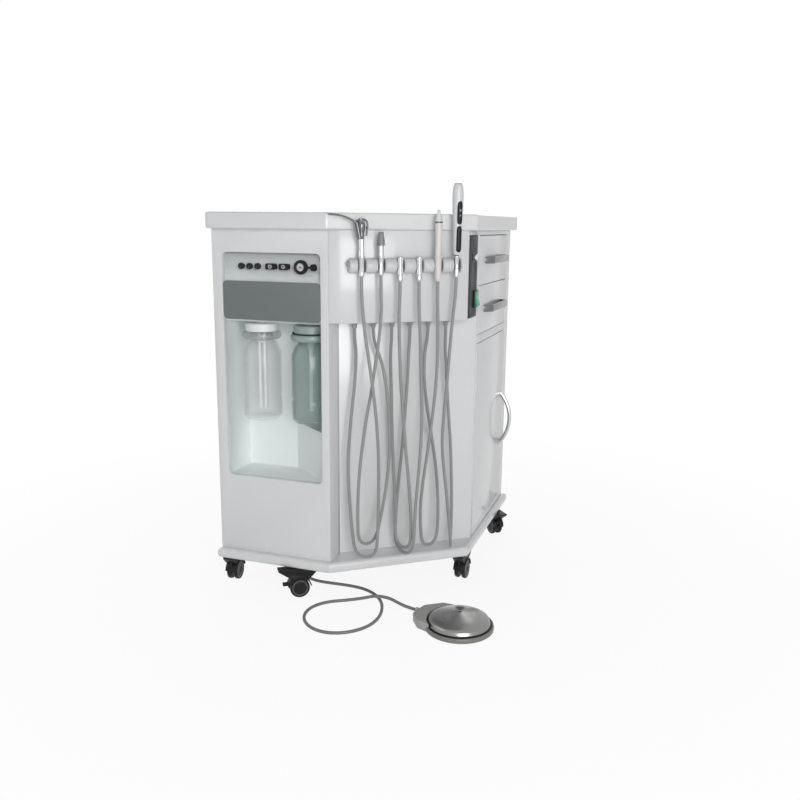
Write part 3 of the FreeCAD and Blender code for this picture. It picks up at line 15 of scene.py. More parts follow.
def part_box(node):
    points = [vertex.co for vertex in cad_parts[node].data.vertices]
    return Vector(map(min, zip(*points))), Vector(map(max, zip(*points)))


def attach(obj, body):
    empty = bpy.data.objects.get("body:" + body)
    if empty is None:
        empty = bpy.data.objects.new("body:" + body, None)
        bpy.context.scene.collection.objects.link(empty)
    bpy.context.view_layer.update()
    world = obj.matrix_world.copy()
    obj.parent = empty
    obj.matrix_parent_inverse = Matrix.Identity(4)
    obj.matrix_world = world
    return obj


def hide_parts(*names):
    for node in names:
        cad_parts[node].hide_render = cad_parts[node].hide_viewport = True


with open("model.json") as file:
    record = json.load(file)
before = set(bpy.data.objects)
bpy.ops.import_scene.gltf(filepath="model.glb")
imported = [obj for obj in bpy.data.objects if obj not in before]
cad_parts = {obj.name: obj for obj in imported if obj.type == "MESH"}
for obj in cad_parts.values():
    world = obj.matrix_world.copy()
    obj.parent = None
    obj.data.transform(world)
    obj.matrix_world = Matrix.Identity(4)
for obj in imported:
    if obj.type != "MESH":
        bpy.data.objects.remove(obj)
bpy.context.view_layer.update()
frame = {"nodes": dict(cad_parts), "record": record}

LOG = logging.getLogger("dental_unit")
Colour = tuple[float, float, float]
Point = tuple[float, float, float]
Profile = Sequence[tuple[float, float]]

MM = 1000.0
EVEN = (1.0, 1.0, 1.0)
WHITE = (1.0, 1.0, 1.0)
BRUSHED_ALONG = (1.0, 1.0, 26.0)
CLOUD_SCALE = 7.0
WEAR_SCALE = 46.0
BUMP_STRENGTH = 0.35
USUAL_SHINE = 0.5
SMOOTH_BELOW = 38.0
MERGE_NODE = 0.002
MERGE_PIECE = 0.001


# ---------------------------------------------------------------- places taken from the frame, in millimetres
def corners(node: str) -> tuple[Vector, Vector]:
    """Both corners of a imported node.

    Args:
        node: The node's name.

    Returns:
        Its lowest and its highest corner.
    """
    low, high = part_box(node)
    return Vector(low) * MM, Vector(high) * MM


def middle(node: str) -> Vector:
    """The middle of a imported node.

    Args:
        node: The node's name.

    Returns:
        The middle of its box.
    """
    low, high = corners(node)
    return (low + high) / 2.0


PIVOTS = {
    joint["name"]: Vector(joint["pos_m"]) * MM
    for joint in frame["record"]["behaviour"]["joints"]
    if joint.get("pos_m")
}
SLANT_CORNER = Vector((corners("front_panel")[1].x + 4.0, corners("worktop")[0].y, 0.0))
SLANT_ANGLE = math.radians(37.5)
SLANT = Matrix.Translation(SLANT_CORNER) @ Matrix.Rotation(SLANT_ANGLE, 4, "Z")
BAY_FRONT = corners("front_panel")[0].y + 12.0
BOTTLE_Y = PIVOTS["water_bottle_twist"].y
CONTROL_HEIGHT = PIVOTS["valve_1_turn"].z
SLOT_INSET = -20.0
SLOTS = tuple(69.0 + 42.0 * index for index in range(6))
END_FACE = corners("door_panel")[1].x
PEDAL = Vector((middle("pedal_disc").x, middle("pedal_disc").y, 0.0))
FACE_OUT = Matrix.Rotation(math.radians(90), 4, "X")
ALONG_X = Matrix.Rotation(math.radians(90), 4, "Y")


# ---------------------------------------------------------------- shader arithmetic
class Signal:
    """A shader value that takes part in Python arithmetic."""

    def __init__(self, graph: "Graph", socket: bpy.types.NodeSocket) -> None:
        """Wraps a socket.

        Args:
            graph: The node tree that the socket is in.
            socket: An output socket.
        """
        self.graph = graph
        self.socket = socket

    def _maths(self, operation: str, first: "Number", second: "Number") -> "Signal":
        """Adds one Math node.

        Args:
            operation: The node's operation.
            first: The first value.
            second: The second value.

        Returns:
            The node's result.
        """
        return self.graph.node("ShaderNodeMath", {"operation": operation}, {0: first, 1: second})

    def __add__(self, other: "Number") -> "Signal":
        """Sum."""
        return self._maths("ADD", self, other)

    def __sub__(self, other: "Number") -> "Signal":
        """Difference."""
        return self._maths("SUBTRACT", self, other)

    def __rsub__(self, other: "Number") -> "Signal":
        """Difference, reflected."""
        return self._maths("SUBTRACT", other, self)

    def __mul__(self, other: "Number") -> "Signal":
        """Product."""
        return self._maths("MULTIPLY", self, other)


Number = Union[Signal, float]


class Graph:
    """The node tree of one material or world."""

    def __init__(self, tree: bpy.types.NodeTree) -> None:
        """Empties a tree.

        Args:
            tree: The tree to build in.
        """
        self.tree = tree
        tree.nodes.clear()

    def node(
        self,
        kind: str,
        settings: Optional[dict] = None,
        inputs: Optional[dict] = None,
        output: Union[int, str] = 0,
    ) -> Signal:
        """Adds a node, sets it up and feeds it.

        Args:
            kind: The node's type.
            settings: Properties to set first.
            inputs: Values or signals by socket name or number.
            output: The output to return.

        Returns:
            The chosen output.
        """
        made = self.tree.nodes.new(kind)
        for key, value in (settings or {}).items():
            setattr(made, key, value)
        for key, value in (inputs or {}).items():
            socket = made.inputs[key]
            if isinstance(value, Signal):
                self.tree.links.new(value.socket, socket)
            elif isinstance(value, (tuple, list)) and len(value) == 3 and socket.type == "RGBA":
                socket.default_value = (*value, 1.0)
            else:
                socket.default_value = value
        return Signal(self, made.outputs[output]) if made.outputs else Signal(self, made.inputs[0])

    def noise(self, scale: float, detail: float = 3.0, stretch: Point = EVEN) -> Signal:
        """A noise over the piece's own coordinates.

        Args:
            scale: Waves to a metre.
            detail: Octaves.
            stretch: How much each axis is compressed.

        Returns:
            The noise, about 0.5.
        """
        place = self.node("ShaderNodeTexCoord", output="Object")
        if stretch != EVEN:
            place = self.node("ShaderNodeMapping", inputs={"Vector": place, "Scale": stretch})
        return self.node("ShaderNodeTexNoise", inputs={"Vector": place, "Scale": scale, "Detail": detail})

    def blend(self, factor: Number, first: Colour, second: Colour) -> Signal:
        """Mixes two colours.

        Args:
            factor: 0 for the first, 1 for the second.
            first: The first colour.
            second: The second colour.

        Returns:
            The mixed colour.
        """
        return self.node(
            "ShaderNodeMix", {"data_type": "RGBA"}, {0: factor, 6: (*first, 1.0), 7: (*second, 1.0)}, output=2
        )


# ---------------------------------------------------------------- finishes
class Surface(Enum):
    """How a finish is made."""

    PAINT = "paint"
    MOULDED = "moulded"
    POLISHED = "polished"
    BRUSHED = "brushed"
    RUBBER = "rubber"
    CLEAR = "clear"
    LAMP = "lamp"


@dataclass(frozen=True)
class Finish:
    """One finish: its colour, its gloss and how they vary over the surface."""

    name: str
    slot: str
    surface: Surface
    colour: Colour
    roughness: float = 0.4
    spread: float = 0.03
    grain: float = 900.0
    depth: float = 0.0002
    alpha: float = 1.0
    glow: float = 0.0
    rim: float = 0.85
    spun: float = 0.0
    shine: float = USUAL_SHINE

    def material(self) -> bpy.types.Material:
        """The finish's material, made once.

        Returns:
            The material.
        """
        known = bpy.data.materials.get(self.name)
        if known:
            return known
        made = bpy.data.materials.new(self.name)
        made.use_nodes = True
        graph = Graph(made.node_tree)
        shader = graph.node("ShaderNodeBsdfPrincipled", inputs=self._sockets(graph))
        graph.node("ShaderNodeOutputMaterial", inputs={"Surface": shader})
        return made

    def _tone(self, share: float) -> Colour:
        """The colour made lighter or darker.

        Args:
            share: The share to add; negative darkens.

        Returns:
            The new colour.
        """
        red, green, blue = (min(1.0, max(0.0, part * (1.0 + share))) for part in self.colour)
        return red, green, blue

    def _sockets(self, graph: Graph) -> dict:
        """What feeds the shader.

        Args:
            graph: The tree to build in.

        Returns:
            Values and signals by socket name.
        """
        metal = self.surface in (Surface.POLISHED, Surface.BRUSHED)
        stretch = BRUSHED_ALONG if self.surface is Surface.BRUSHED else EVEN
        cloud = graph.noise(CLOUD_SCALE, 4.0)
        speck = graph.noise(self.grain, 2.0, stretch)
        wear = graph.noise(WEAR_SCALE, 6.0, stretch)
        tone = cloud * 0.7 + wear * 0.3
        colour = graph.blend(tone, self._tone(-self.spread), self._tone(self.spread))
        sockets = {
            "Base Color": colour,
            "Metallic": 1.0 if metal else 0.0,
            "Roughness": (wear - 0.5) * (self.roughness * 0.5) + self.roughness,
            "Normal": graph.node(
                "ShaderNodeBump",
                inputs={"Strength": BUMP_STRENGTH, "Distance": self.depth, "Height": speck},
                output="Normal",
            ),
        }
        if self.surface is Surface.PAINT:
            sockets["Coat Weight"] = 0.5
            sockets["Coat Roughness"] = 0.12
        if self.surface is Surface.RUBBER:
            sockets["Sheen Weight"] = 0.25
            sockets["Sheen Roughness"] = 0.5
        if self.surface is Surface.CLEAR:
            facing = graph.node("ShaderNodeLayerWeight", inputs={"Blend": 0.35}, output="Facing")
            sockets["Alpha"] = facing * (self.rim - self.alpha) + self.alpha
            sockets["Coat Weight"] = 1.0
            sockets["Coat Roughness"] = 0.03
        if self.shine != USUAL_SHINE:
            sockets["Specular IOR Level"] = self.shine
        if self.spun:
            sockets["Anisotropic"] = self.spun
        if self.surface is Surface.LAMP:
            sockets["Emission Color"] = colour
            sockets["Emission Strength"] = self.glow
        return sockets


BOARD = Finish("white_gloss_paint", "board_white", Surface.PAINT, (0.70, 0.71, 0.715), 0.32, 0.012, 300.0, 0.00004)
CASE = Finish("white_laminate", "case_white", Surface.MOULDED, (0.60, 0.61, 0.62), 0.45, 0.02, 1500.0, 0.00004)
TUB = Finish("moulded_grey_tub", "bay_grey", Surface.MOULDED, (0.83, 0.88, 0.87), 0.40, 0.01, 800.0, 0.00003)
BOX = Finish("smooth_white_box", "box_white", Surface.PAINT, (0.64, 0.65, 0.655), 0.34, 0.012, 400.0, 0.00004)
SMOKE = Finish("smoked_sheet", "smoked", Surface.MOULDED, (0.150, 0.172, 0.170), 0.50, 0.01, 500.0, 0.00001)
CHROME = Finish("polished_chrome", "chrome", Surface.POLISHED, (0.58, 0.58, 0.59), 0.14, 0.04, 600.0, 0.00003)
GUNMETAL = Finish("dark_metal", "chrome", Surface.POLISHED, (0.13, 0.13, 0.135), 0.26, 0.06, 600.0, 0.00003)
HANDLE = Finish("satin_bow_handle", "chrome", Surface.POLISHED, (0.17, 0.17, 0.18), 0.26, 0.05, 600.0, 0.00003)
SPUN = Finish("spun_steel", "chrome", Surface.POLISHED, (0.25, 0.25, 0.245), 0.22, 0.05, 500.0, 0.00003, spun=0.8)
STEEL = Finish("turned_steel", "steel", Surface.BRUSHED, (0.40, 0.40, 0.41), 0.32, 0.06, 200.0, 0.0001)
# Satin black plastic; on the foot control it also paints the shade in the gap round the disc.
BLACK = Finish(
    "satin_black_plastic_and_gap_shade", "black", Surface.MOULDED, (0.008, 0.008, 0.009), 0.40, 0.15, 1800.0, 0.0001, shine=0.22
)
TREAD = Finish(
    "black_tread", "wheel_black", Surface.RUBBER, (0.008, 0.008, 0.009), 0.60, 0.15, 1500.0, 0.0002, shine=0.2
)
# Grey of the caster hub rings and the knob marks; on the black wheels its lighter grey paints small ring highlights.
HUB_GREY_AND_HIGHLIGHT = Finish("hub_grey_and_ring_highlight", "wheel_black", Surface.MOULDED, (0.07, 0.072, 0.075), 0.40, 0.05, 900.0, 0.0001)
DARK = Finish(
    "dark_end_panel", "panel_dark", Surface.MOULDED, (0.045, 0.046, 0.050), 0.55, 0.05, 700.0, 0.00005, shine=0.25
)
GREEN = Finish(
    "lit_green_lens", "green_lamp", Surface.LAMP, (0.010, 0.230, 0.125), 0.25, 0.05, 500.0, 0.00005, glow=0.16
)
WATER = Finish(
    "clear_bottle_wall", "clear_bottle", Surface.CLEAR, (0.78, 0.82, 0.81), 0.10, 0.01, 300.0, 0.00003, 0.05, rim=0.34
)
WASTE = Finish(
    "green_bottle_wall", "green_bottle", Surface.CLEAR, (0.34, 0.46, 0.43), 0.10, 0.02, 300.0, 0.00003, 0.26, rim=0.60
)
CAP = Finish("white_cap", "cap_white", Surface.MOULDED, (0.82, 0.83, 0.84), 0.35, 0.02, 900.0, 0.0001)
COLLAR = Finish(
    "frosted_collar", "cap_white", Surface.CLEAR, (0.52, 0.56, 0.56), 0.16, 0.02, 500.0, 0.00003, 0.28, rim=0.66
)
WASTE_CAP = Finish("smoked_cap", "cap_white", Surface.MOULDED, (0.30, 0.37, 0.35), 0.36, 0.03, 900.0, 0.0001)
RAIL = Finish("grey_rail", "rail_grey", Surface.MOULDED, (0.60, 0.61, 0.62), 0.32, 0.02, 900.0, 0.00005)
HAND = Finish("warm_white_handpiece", "hand_white", Surface.MOULDED, (0.70, 0.655, 0.645), 0.30, 0.02, 900.0, 0.00005)
LIGHT = Finish("white_light_shell", "light_white", Surface.MOULDED, (0.66, 0.67, 0.68), 0.28, 0.02, 900.0, 0.00005)
GREY_CAP = Finish(
    "grey_coupling_cap", "coupling_grey", Surface.MOULDED, (0.23, 0.24, 0.245), 0.4, 0.06, 900.0, 0.0001
)
FOOT_TUBE = Finish("dark_grey_tubing", "hose_grey", Surface.RUBBER, (0.17, 0.17, 0.165), 0.46, 0.05, 1200.0, 0.0002)
HOSE = Finish("soft_grey_tubing", "hose_grey", Surface.RUBBER, (0.275, 0.275, 0.275), 0.46, 0.05, 1200.0, 0.0002)
# Grey of the hose glands; on the rail's inner rod and barrel-end discs it also paints the shade in the slots.
GLAND_AND_SLOT_SHADE = Finish("grey_gland_and_slot_shade", "gland_grey", Surface.MOULDED, (0.30, 0.31, 0.31), 0.45, 0.06, 1200.0, 0.0001)
RING = Finish("olive_grey_ring", "pedal_grey", Surface.MOULDED, (0.19, 0.19, 0.18), 0.36, 0.06, 900.0, 0.0001)
HOUSING = Finish("grey_housing", "pedal_grey", Surface.MOULDED, (0.40, 0.40, 0.385), 0.40, 0.05, 900.0, 0.0001)
PUMP = Finish("painted_castings", "pump_blue", Surface.PAINT, (0.16, 0.22, 0.30), 0.38, 0.10, 500.0, 0.0006)
DIAL = Finish("white_dial", "gauge_black", Surface.MOULDED, (0.56, 0.56, 0.55), 0.45, 0.01, 900.0, 0.00005)
GLASS = Finish(
    "gauge_glass", "gauge_black", Surface.CLEAR, (0.9, 0.9, 0.9), 0.04, 0.01, 300.0, 0.00002, 0.04, rim=0.3
)


# ---------------------------------------------------------------- mesh work
class Workpiece:
    """A mesh in the making, in millimetres."""

    def __init__(self) -> None:
        """Starts an empty piece."""
        self.mesh = bmesh.new()

    @classmethod
    def turned(cls, profile: Profile, steps: int = 64, ring: bool = False) -> "Workpiece":
        """Turns a profile about Z.

        Args:
            profile: Radius and height of each point.
            steps: Faces round the piece.
            ring: Whether the profile closes on itself, away from the axis.

        Returns:
            The turned piece.
        """
        piece = cls()
        points = [piece.mesh.verts.new((radius, 0.0, height)) for radius, height in profile]
        pairs = list(zip(points, points[1:])) + ([(points[-1], points[0])] if ring else [])
        lines = [piece.mesh.edges.new(pair) for pair in pairs]
        bmesh.ops.spin(
            piece.mesh,
            geom=points + lines,
            cent=(0, 0, 0),
            axis=(0, 0, 1),
            angle=math.tau,
            steps=steps,
            use_merge=True,
        )
        return piece._closed()

    @classmethod
    def block(cls, low: Point, high: Point) -> "Workpiece":
        """A block between two corners.

        Args:
            low: Its lowest corner.
            high: Its highest corner.

        Returns:
            The block.
        """
        piece = cls()
        size = [b - a for a, b in zip(low, high)]
        middle = [(a + b) / 2 for a, b in zip(low, high)]
        place = Matrix.Translation(middle) @ Matrix.Diagonal((*size, 1.0))
        bmesh.ops.create_cube(piece.mesh, size=1.0, matrix=place)
        return piece

    @classmethod
    def ball(cls, radii: Point, centre: Point) -> "Workpiece":
        """A stretched ball.

        Args:
            radii: Its radius along each axis.
            centre: Its centre.

        Returns:
            The ball.
        """
        piece = cls()
        place = Matrix.Translation(centre) @ Matrix.Diagonal((*radii, 1.0))
        bmesh.ops.create_uvsphere(piece.mesh, u_segments=40, v_segments=24, radius=1.0, matrix=place)
        return piece

    @classmethod
    def prism(cls, outline: Profile, low: float, high: float) -> "Workpiece":
        """An upright prism.

        Args:
            outline: Its outline, seen from above.
            low: Its lower height.
            high: Its upper height.

        Returns:
            The prism.
        """
        piece = cls()
        face = piece.mesh.faces.new([piece.mesh.verts.new((x, y, low)) for x, y in outline])
        raised = bmesh.ops.extrude_face_region(piece.mesh, geom=[face])
        verts = [part for part in raised["geom"] if isinstance(part, bmesh.types.BMVert)]
        bmesh.ops.translate(piece.mesh, vec=(0.0, 0.0, high - low), verts=verts)
        return piece._closed()

    @classmethod
    def bent(cls, points: Sequence[Point], radius: float) -> "Workpiece":
        """A round bar along a smooth path.

        Args:
            points: The path's control points.
            radius: The bar's radius.

        Returns:
            The bar.
        """
        path = bpy.data.curves.new("path", "CURVE")
        path.dimensions = "3D"
        path.bevel_depth = radius
        path.bevel_resolution = 5
        path.use_fill_caps = True
        spline = path.splines.new("NURBS")
        spline.points.add(len(points) - 1)
        for control, point in zip(spline.points, points):
            control.co = (*point, 1.0)
        spline.order_u = 3
        spline.use_endpoint_u = True
        holder = bpy.data.objects.new("path", path)
        mesh = bpy.data.meshes.new_from_object(holder)
        piece = cls()
        piece.mesh.from_mesh(mesh)
        bpy.data.objects.remove(holder)
        bpy.data.meshes.remove(mesh)
        bpy.data.curves.remove(path)
        return piece._closed()

    @classmethod
    def copy_of(cls, node: str) -> "Workpiece":
        """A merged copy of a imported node.

        Args:
            node: The node's name.

        Returns:
            The copy, with flat areas joined.
        """
        piece = cls()
        piece.mesh.from_mesh(frame["nodes"][node].data)
        bmesh.ops.scale(piece.mesh, vec=(MM, MM, MM), verts=piece.mesh.verts)
        bmesh.ops.remove_doubles(piece.mesh, verts=piece.mesh.verts, dist=MERGE_NODE)
        bmesh.ops.dissolve_limit(
            piece.mesh, angle_limit=math.radians(0.6), verts=piece.mesh.verts, edges=piece.mesh.edges
        )
        return piece

    def _closed(self) -> "Workpiece":
        """Merges doubles and turns every face outwards."""
        bmesh.ops.remove_doubles(self.mesh, verts=self.mesh.verts, dist=MERGE_PIECE)
        bmesh.ops.recalc_face_normals(self.mesh, faces=self.mesh.faces)
        return self

    def soften(
        self,
        width: float,
        segments: int = 3,
        angle: float = 25.0,
        where: Optional[Callable[[bmesh.types.BMEdge], bool]] = None,
    ) -> "Workpiece":
        """Bevels sharp edges.

        Args:
            width: The bevel's width.
            segments: Its faces.
            angle: The least angle of an edge that is bevelled, in degrees.
            where: A further test of the edge.

        Returns:
            The piece.
        """
        least = math.radians(angle)
        chosen = [
            edge
            for edge in self.mesh.edges
            if len(edge.link_faces) == 2 and edge.calc_face_angle(0.0) > least and (where is None or where(edge))
        ]
        bmesh.ops.bevel(
            self.mesh,
            geom=chosen,
            offset=width,
            offset_type="OFFSET",
            affect="EDGES",
            segments=segments,
            profile=0.5,
            clamp_overlap=True,
            material=-1,
        )
        return self

    def ribbed(self, low: float, high: float, rise: float, every: int = 2) -> "Workpiece":
        """Raises every second side face between two heights of a turned piece.

        Args:
            low: The lower height.
            high: The upper height.
            rise: How far each rib stands out.
            every: One rib to so many faces.

        Returns:
            The piece.
        """
        sides = []
        for face in self.mesh.faces:
            centre = face.calc_center_median()
            if low < centre.z < high and abs(face.normal.z) < 0.3 and centre.xy.length > 2:
                sides.append(face)
        sides.sort(key=lambda face: math.atan2(*face.calc_center_median().yx))
        ribs = bmesh.ops.inset_individual(self.mesh, faces=sides[::every], thickness=0.12, depth=rise)
        LOG.debug("%d ribs", len(ribs["faces"]))
        return self

    def moved(self, place: Matrix) -> "Workpiece":
        """Moves the piece.

        Args:
            place: The transform, in millimetres.

        Returns:
            The piece.
        """
        bmesh.ops.transform(self.mesh, matrix=place, verts=self.mesh.verts)
        return self

    def at(self, x: float = 0.0, y: float = 0.0, z: float = 0.0) -> "Workpiece":
        """Shifts the piece."""
        return self.moved(Matrix.Translation((x, y, z)))

    def joined(self, *others: "Workpiece") -> "Workpiece":
        """Takes other pieces into this one.

        Args:
            others: The pieces to take in.

        Returns:
            The piece.
        """
        for other in others:
            carrier = bpy.data.meshes.new("carrier")
            other.mesh.to_mesh(carrier)
            self.mesh.from_mesh(carrier)
            bpy.data.meshes.remove(carrier)
            other.mesh.free()
        return self

    def finished(self, name: str, finish: Finish, body: str, replaces: Iterable[str] = ()) -> bpy.types.Object:
        """Makes the piece an object that rides on a body.

        Args:
            name: The object's name.
            finish: Its finish.
            body: The body that carries it.
            replaces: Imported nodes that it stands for.

        Returns:
            The object.
        """
        bmesh.ops.scale(self.mesh, vec=(1.0 / MM, 1.0 / MM, 1.0 / MM), verts=self.mesh.verts)
        mesh = bpy.data.meshes.new(name)
        self.mesh.to_mesh(mesh)
        self.mesh.free()
        for polygon in mesh.polygons:
            polygon.use_smooth = True
        mesh.set_sharp_from_angle(angle=math.radians(SMOOTH_BELOW))
        mesh.materials.append(finish.material())
        made = bpy.data.objects.new(name, mesh)
        bpy.context.scene.collection.objects.link(made)
        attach(made, body)
        if replaces:
            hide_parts(*replaces)
        LOG.info("%s: %d faces on %s", name, len(mesh.polygons), body)
        return made


def dress(node: str, finish: Finish) -> None:
    """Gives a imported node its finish.

    Args:
        node: The node's name.
        finish: The finish.
    """
    shown = frame["nodes"][node]
    shown.data.materials.clear()
    shown.data.materials.append(finish.material())
    LOG.info("%s: packed solid in %s", node, finish.name)


def softened_node(node: str, finish: Finish, body: str, width: float = 1.0) -> None:
    """Replaces a node with a copy of it whose edges are eased.

    Args:
        node: The node's name.
        finish: The finish.
        body: The body that carries it.
        width: The width of the eased edges.
    """
    Workpiece.copy_of(node).soften(width, 2, 35.0).finished(f"{node}_eased", finish, body, [node])


# ---------------------------------------------------------------- hoses
@dataclass
class Hose:
    """A limp hose along its own route, which is given from the slanted face's left corner, in metres."""

    name: str
    length: float
    route: Sequence[Point]
    slanted: bool = True
    lay: str = "hanging"
    finish: Finish = HOSE
    gland_first: bool = False
    diameter: float = 0.007

    def points(self) -> list[Vector]:
        """The route in the shared frame.

        Returns:
            Points in metres.
        """
        origin = SLANT_CORNER / MM
        turn = Matrix.Rotation(SLANT_ANGLE if self.slanted else 0.0, 3, "Z")
        return [origin + turn @ Vector(point) for point in self.route]

    def build(self) -> None:
        """Lays the hose as one smooth spline."""
        points = self.points()
        curve = bpy.data.curves.new(self.name, "CURVE")
        curve.dimensions = "3D"
        curve.bevel_depth = self.diameter / 2
        curve.bevel_resolution = 5
        curve.use_fill_caps = True
        curve.resolution_u = 10
        spline = curve.splines.new("NURBS")
        spline.points.add(len(points) - 1)
        for control, point in zip(spline.points, points):
            control.co = (*point, 1.0)
        spline.order_u = 3
        spline.use_endpoint_u = True
        curve.materials.append(self.finish.material())
        made = bpy.data.objects.new(f"{self.name}_soft", curve)
        bpy.context.scene.collection.objects.link(made)
        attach(made, "cabinet")
        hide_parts(self.name)
        LOG.info("%s: hose of %d points", self.name, len(points))


HOSES = (
    Hose(
        "syringe_hose",
        1.165,
        (
            (0.069, -0.02, 0.721), (0.069, -0.02, 0.69), (0.071, -0.021, 0.652), (0.075, -0.023, 0.611),
            (0.08, -0.026, 0.57), (0.086, -0.028, 0.528), (0.092, -0.028, 0.485), (0.098, -0.027, 0.44),
            (0.103, -0.024, 0.395), (0.107, -0.02, 0.345), (0.109, -0.017, 0.294), (0.11, -0.014, 0.245),
            (0.11, -0.012, 0.2), (0.109, -0.011, 0.157), (0.107, -0.01, 0.116), (0.094, -0.004, 0.1),
            (0.075, 0.005, 0.1), (0.062, 0.011, 0.116), (0.057, 0.012, 0.157), (0.054, 0.015, 0.2),
            (0.051, 0.018, 0.254), (0.05, 0.021, 0.311), (0.054, 0.024, 0.367), (0.06, 0.027, 0.424),
            (0.067, 0.029, 0.476), (0.071, 0.031, 0.524), (0.072, 0.033, 0.563), (0.069, 0.034, 0.587),
            (0.069, 0.034, 0.61),
        ),
    ),
    Hose(
        "capped_hose",
        1.111,
        (
            (0.111, -0.02, 0.723), (0.111, -0.02, 0.692), (0.113, -0.019, 0.652), (0.11, -0.017, 0.604),
            (0.105, -0.014, 0.558), (0.099, -0.012, 0.515), (0.093, -0.011, 0.473), (0.084, -0.009, 0.425),
            (0.076, -0.009, 0.372), (0.069, -0.008, 0.312), (0.065, -0.007, 0.25), (0.064, -0.007, 0.189),
            (0.066, -0.006, 0.147), (0.08, -0.001, 0.131), (0.1, 0.005, 0.131), (0.114, 0.01, 0.147),
            (0.123, 0.011, 0.186), (0.133, 0.011, 0.24), (0.141, 0.012, 0.3), (0.144, 0.014, 0.36),
            (0.143, 0.017, 0.415), (0.14, 0.02, 0.458), (0.136, 0.024, 0.494), (0.13, 0.028, 0.53),
            (0.12, 0.032, 0.56), (0.111, 0.034, 0.586), (0.111, 0.034, 0.61),
        ),
    ),
    Hose(
        "motor_hose",
        1.127,
        (
            (0.153, -0.02, 0.71), (0.153, -0.02, 0.68), (0.151, -0.02, 0.645), (0.152, -0.02, 0.598),
            (0.154, -0.02, 0.548), (0.157, -0.019, 0.49), (0.163, -0.018, 0.43), (0.168, -0.017, 0.368),
            (0.174, -0.019, 0.305), (0.18, -0.018, 0.248), (0.183, -0.019, 0.206), (0.184, -0.02, 0.167),
            (0.183, -0.02, 0.127), (0.177, -0.007, 0.112), (0.169, 0.012, 0.112), (0.163, 0.026, 0.127),
            (0.161, 0.026, 0.167), (0.161, 0.023, 0.206), (0.158, 0.024, 0.262), (0.155, 0.026, 0.33),
            (0.153, 0.028, 0.395), (0.152, 0.029, 0.45), (0.151, 0.032, 0.505), (0.15, 0.033, 0.552),
            (0.153, 0.034, 0.584), (0.153, 0.034, 0.61),
        ),
    ),
    Hose(
        "turbine_hose",
        1.162,
        (
            (0.195, -0.02, 0.71), (0.195, -0.02, 0.672), (0.197, -0.021, 0.625), (0.2, -0.022, 0.565),
            (0.202, -0.022, 0.5), (0.204, -0.026, 0.435), (0.202, -0.028, 0.37), (0.198, -0.029, 0.305),
            (0.192, -0.031, 0.245), (0.189, -0.031, 0.195), (0.187, -0.032, 0.155), (0.186, -0.031, 0.121),
            (0.18, -0.012, 0.1), (0.17, 0.016, 0.1), (0.164, 0.035, 0.121), (0.166, 0.036, 0.16),
            (0.169, 0.036, 0.215), (0.174, 0.036, 0.275), (0.18, 0.035, 0.335), (0.184, 0.034, 0.395),
            (0.188, 0.034, 0.45), (0.191, 0.033, 0.505), (0.192, 0.033, 0.55), (0.195, 0.034, 0.584),
            (0.195, 0.034, 0.61),
        ),
    ),
    Hose(
        "scaler_hose",
        1.131,
        (
            (0.237, -0.02, 0.71), (0.237, -0.02, 0.672), (0.239, -0.02, 0.625), (0.24, -0.02, 0.57),
            (0.239, -0.02, 0.512), (0.235, -0.019, 0.455), (0.229, -0.018, 0.398), (0.222, -0.017, 0.34),
            (0.215, -0.015, 0.285), (0.21, -0.014, 0.242), (0.208, -0.013, 0.205), (0.209, -0.013, 0.165),
            (0.213, -0.011, 0.127), (0.226, -0.005, 0.112), (0.245, 0.004, 0.112), (0.258, 0.01, 0.127),
            (0.261, 0.012, 0.165), (0.261, 0.016, 0.222), (0.257, 0.02, 0.285), (0.249, 0.024, 0.345),
            (0.239, 0.027, 0.405), (0.231, 0.03, 0.462), (0.228, 0.032, 0.515), (0.23, 0.033, 0.556),
            (0.237, 0.034, 0.586), (0.237, 0.034, 0.61),
        ),
    ),
    Hose(
        "light_hose",
        1.156,
        (
            (0.279, -0.02, 0.718), (0.279, -0.02, 0.688), (0.275, -0.02, 0.65), (0.27, -0.021, 0.6),
            (0.266, -0.021, 0.545), (0.262, -0.022, 0.485), (0.257, -0.022, 0.425), (0.253, -0.022, 0.368),
            (0.257, -0.022, 0.312), (0.264, -0.022, 0.258), (0.271, -0.021, 0.206), (0.277, -0.019, 0.156),
            (0.281, -0.018, 0.117), (0.286, -0.005, 0.102), (0.294, 0.014, 0.102), (0.299, 0.027, 0.117),
            (0.301, 0.029, 0.157), (0.301, 0.03, 0.21), (0.299, 0.031, 0.275), (0.295, 0.031, 0.345),
            (0.289, 0.032, 0.412), (0.284, 0.033, 0.475), (0.281, 0.034, 0.53), (0.278, 0.033, 0.562),
            (0.279, 0.034, 0.587), (0.279, 0.034, 0.61),
        ),
    ),
    Hose(
        "foot_hose",
        0.955,
        (
            (-0.15, 0.17, 0.054), (-0.15, 0.17, 0.031), (-0.137, 0.153, 0.009), (-0.113, 0.118, 0.0035),
            (-0.084, 0.097, 0.0035), (-0.042, 0.095, 0.0035), (0.003, 0.098, 0.0035),
            (0.045, 0.094, 0.0035), (0.08, 0.076, 0.0035), (0.106, 0.047, 0.0035), (0.122, 0.012, 0.0035),
            (0.13, -0.028, 0.0035), (0.126, -0.068, 0.0035), (0.108, -0.101, 0.0035),
            (0.08, -0.124, 0.0035), (0.046, -0.133, 0.0035), (0.011, -0.123, 0.0035),
            (-0.015, -0.099, 0.0035), (-0.029, -0.066, 0.0035), (-0.026, -0.029, 0.0035),
            (-0.004, 0.002, 0.0035), (0.03, 0.022, 0.0035), (0.066, 0.033, 0.009), (0.097, 0.037, 0.019),
            (0.129, 0.036, 0.019), (0.155, 0.0275, 0.014), (0.1764, 0.0201, 0.012), (0.1976, 0.0148, 0.012),
        ),
        slanted=False,
        lay="loose",
        finish=FOOT_TUBE,
        gland_first=True,
    ),
)


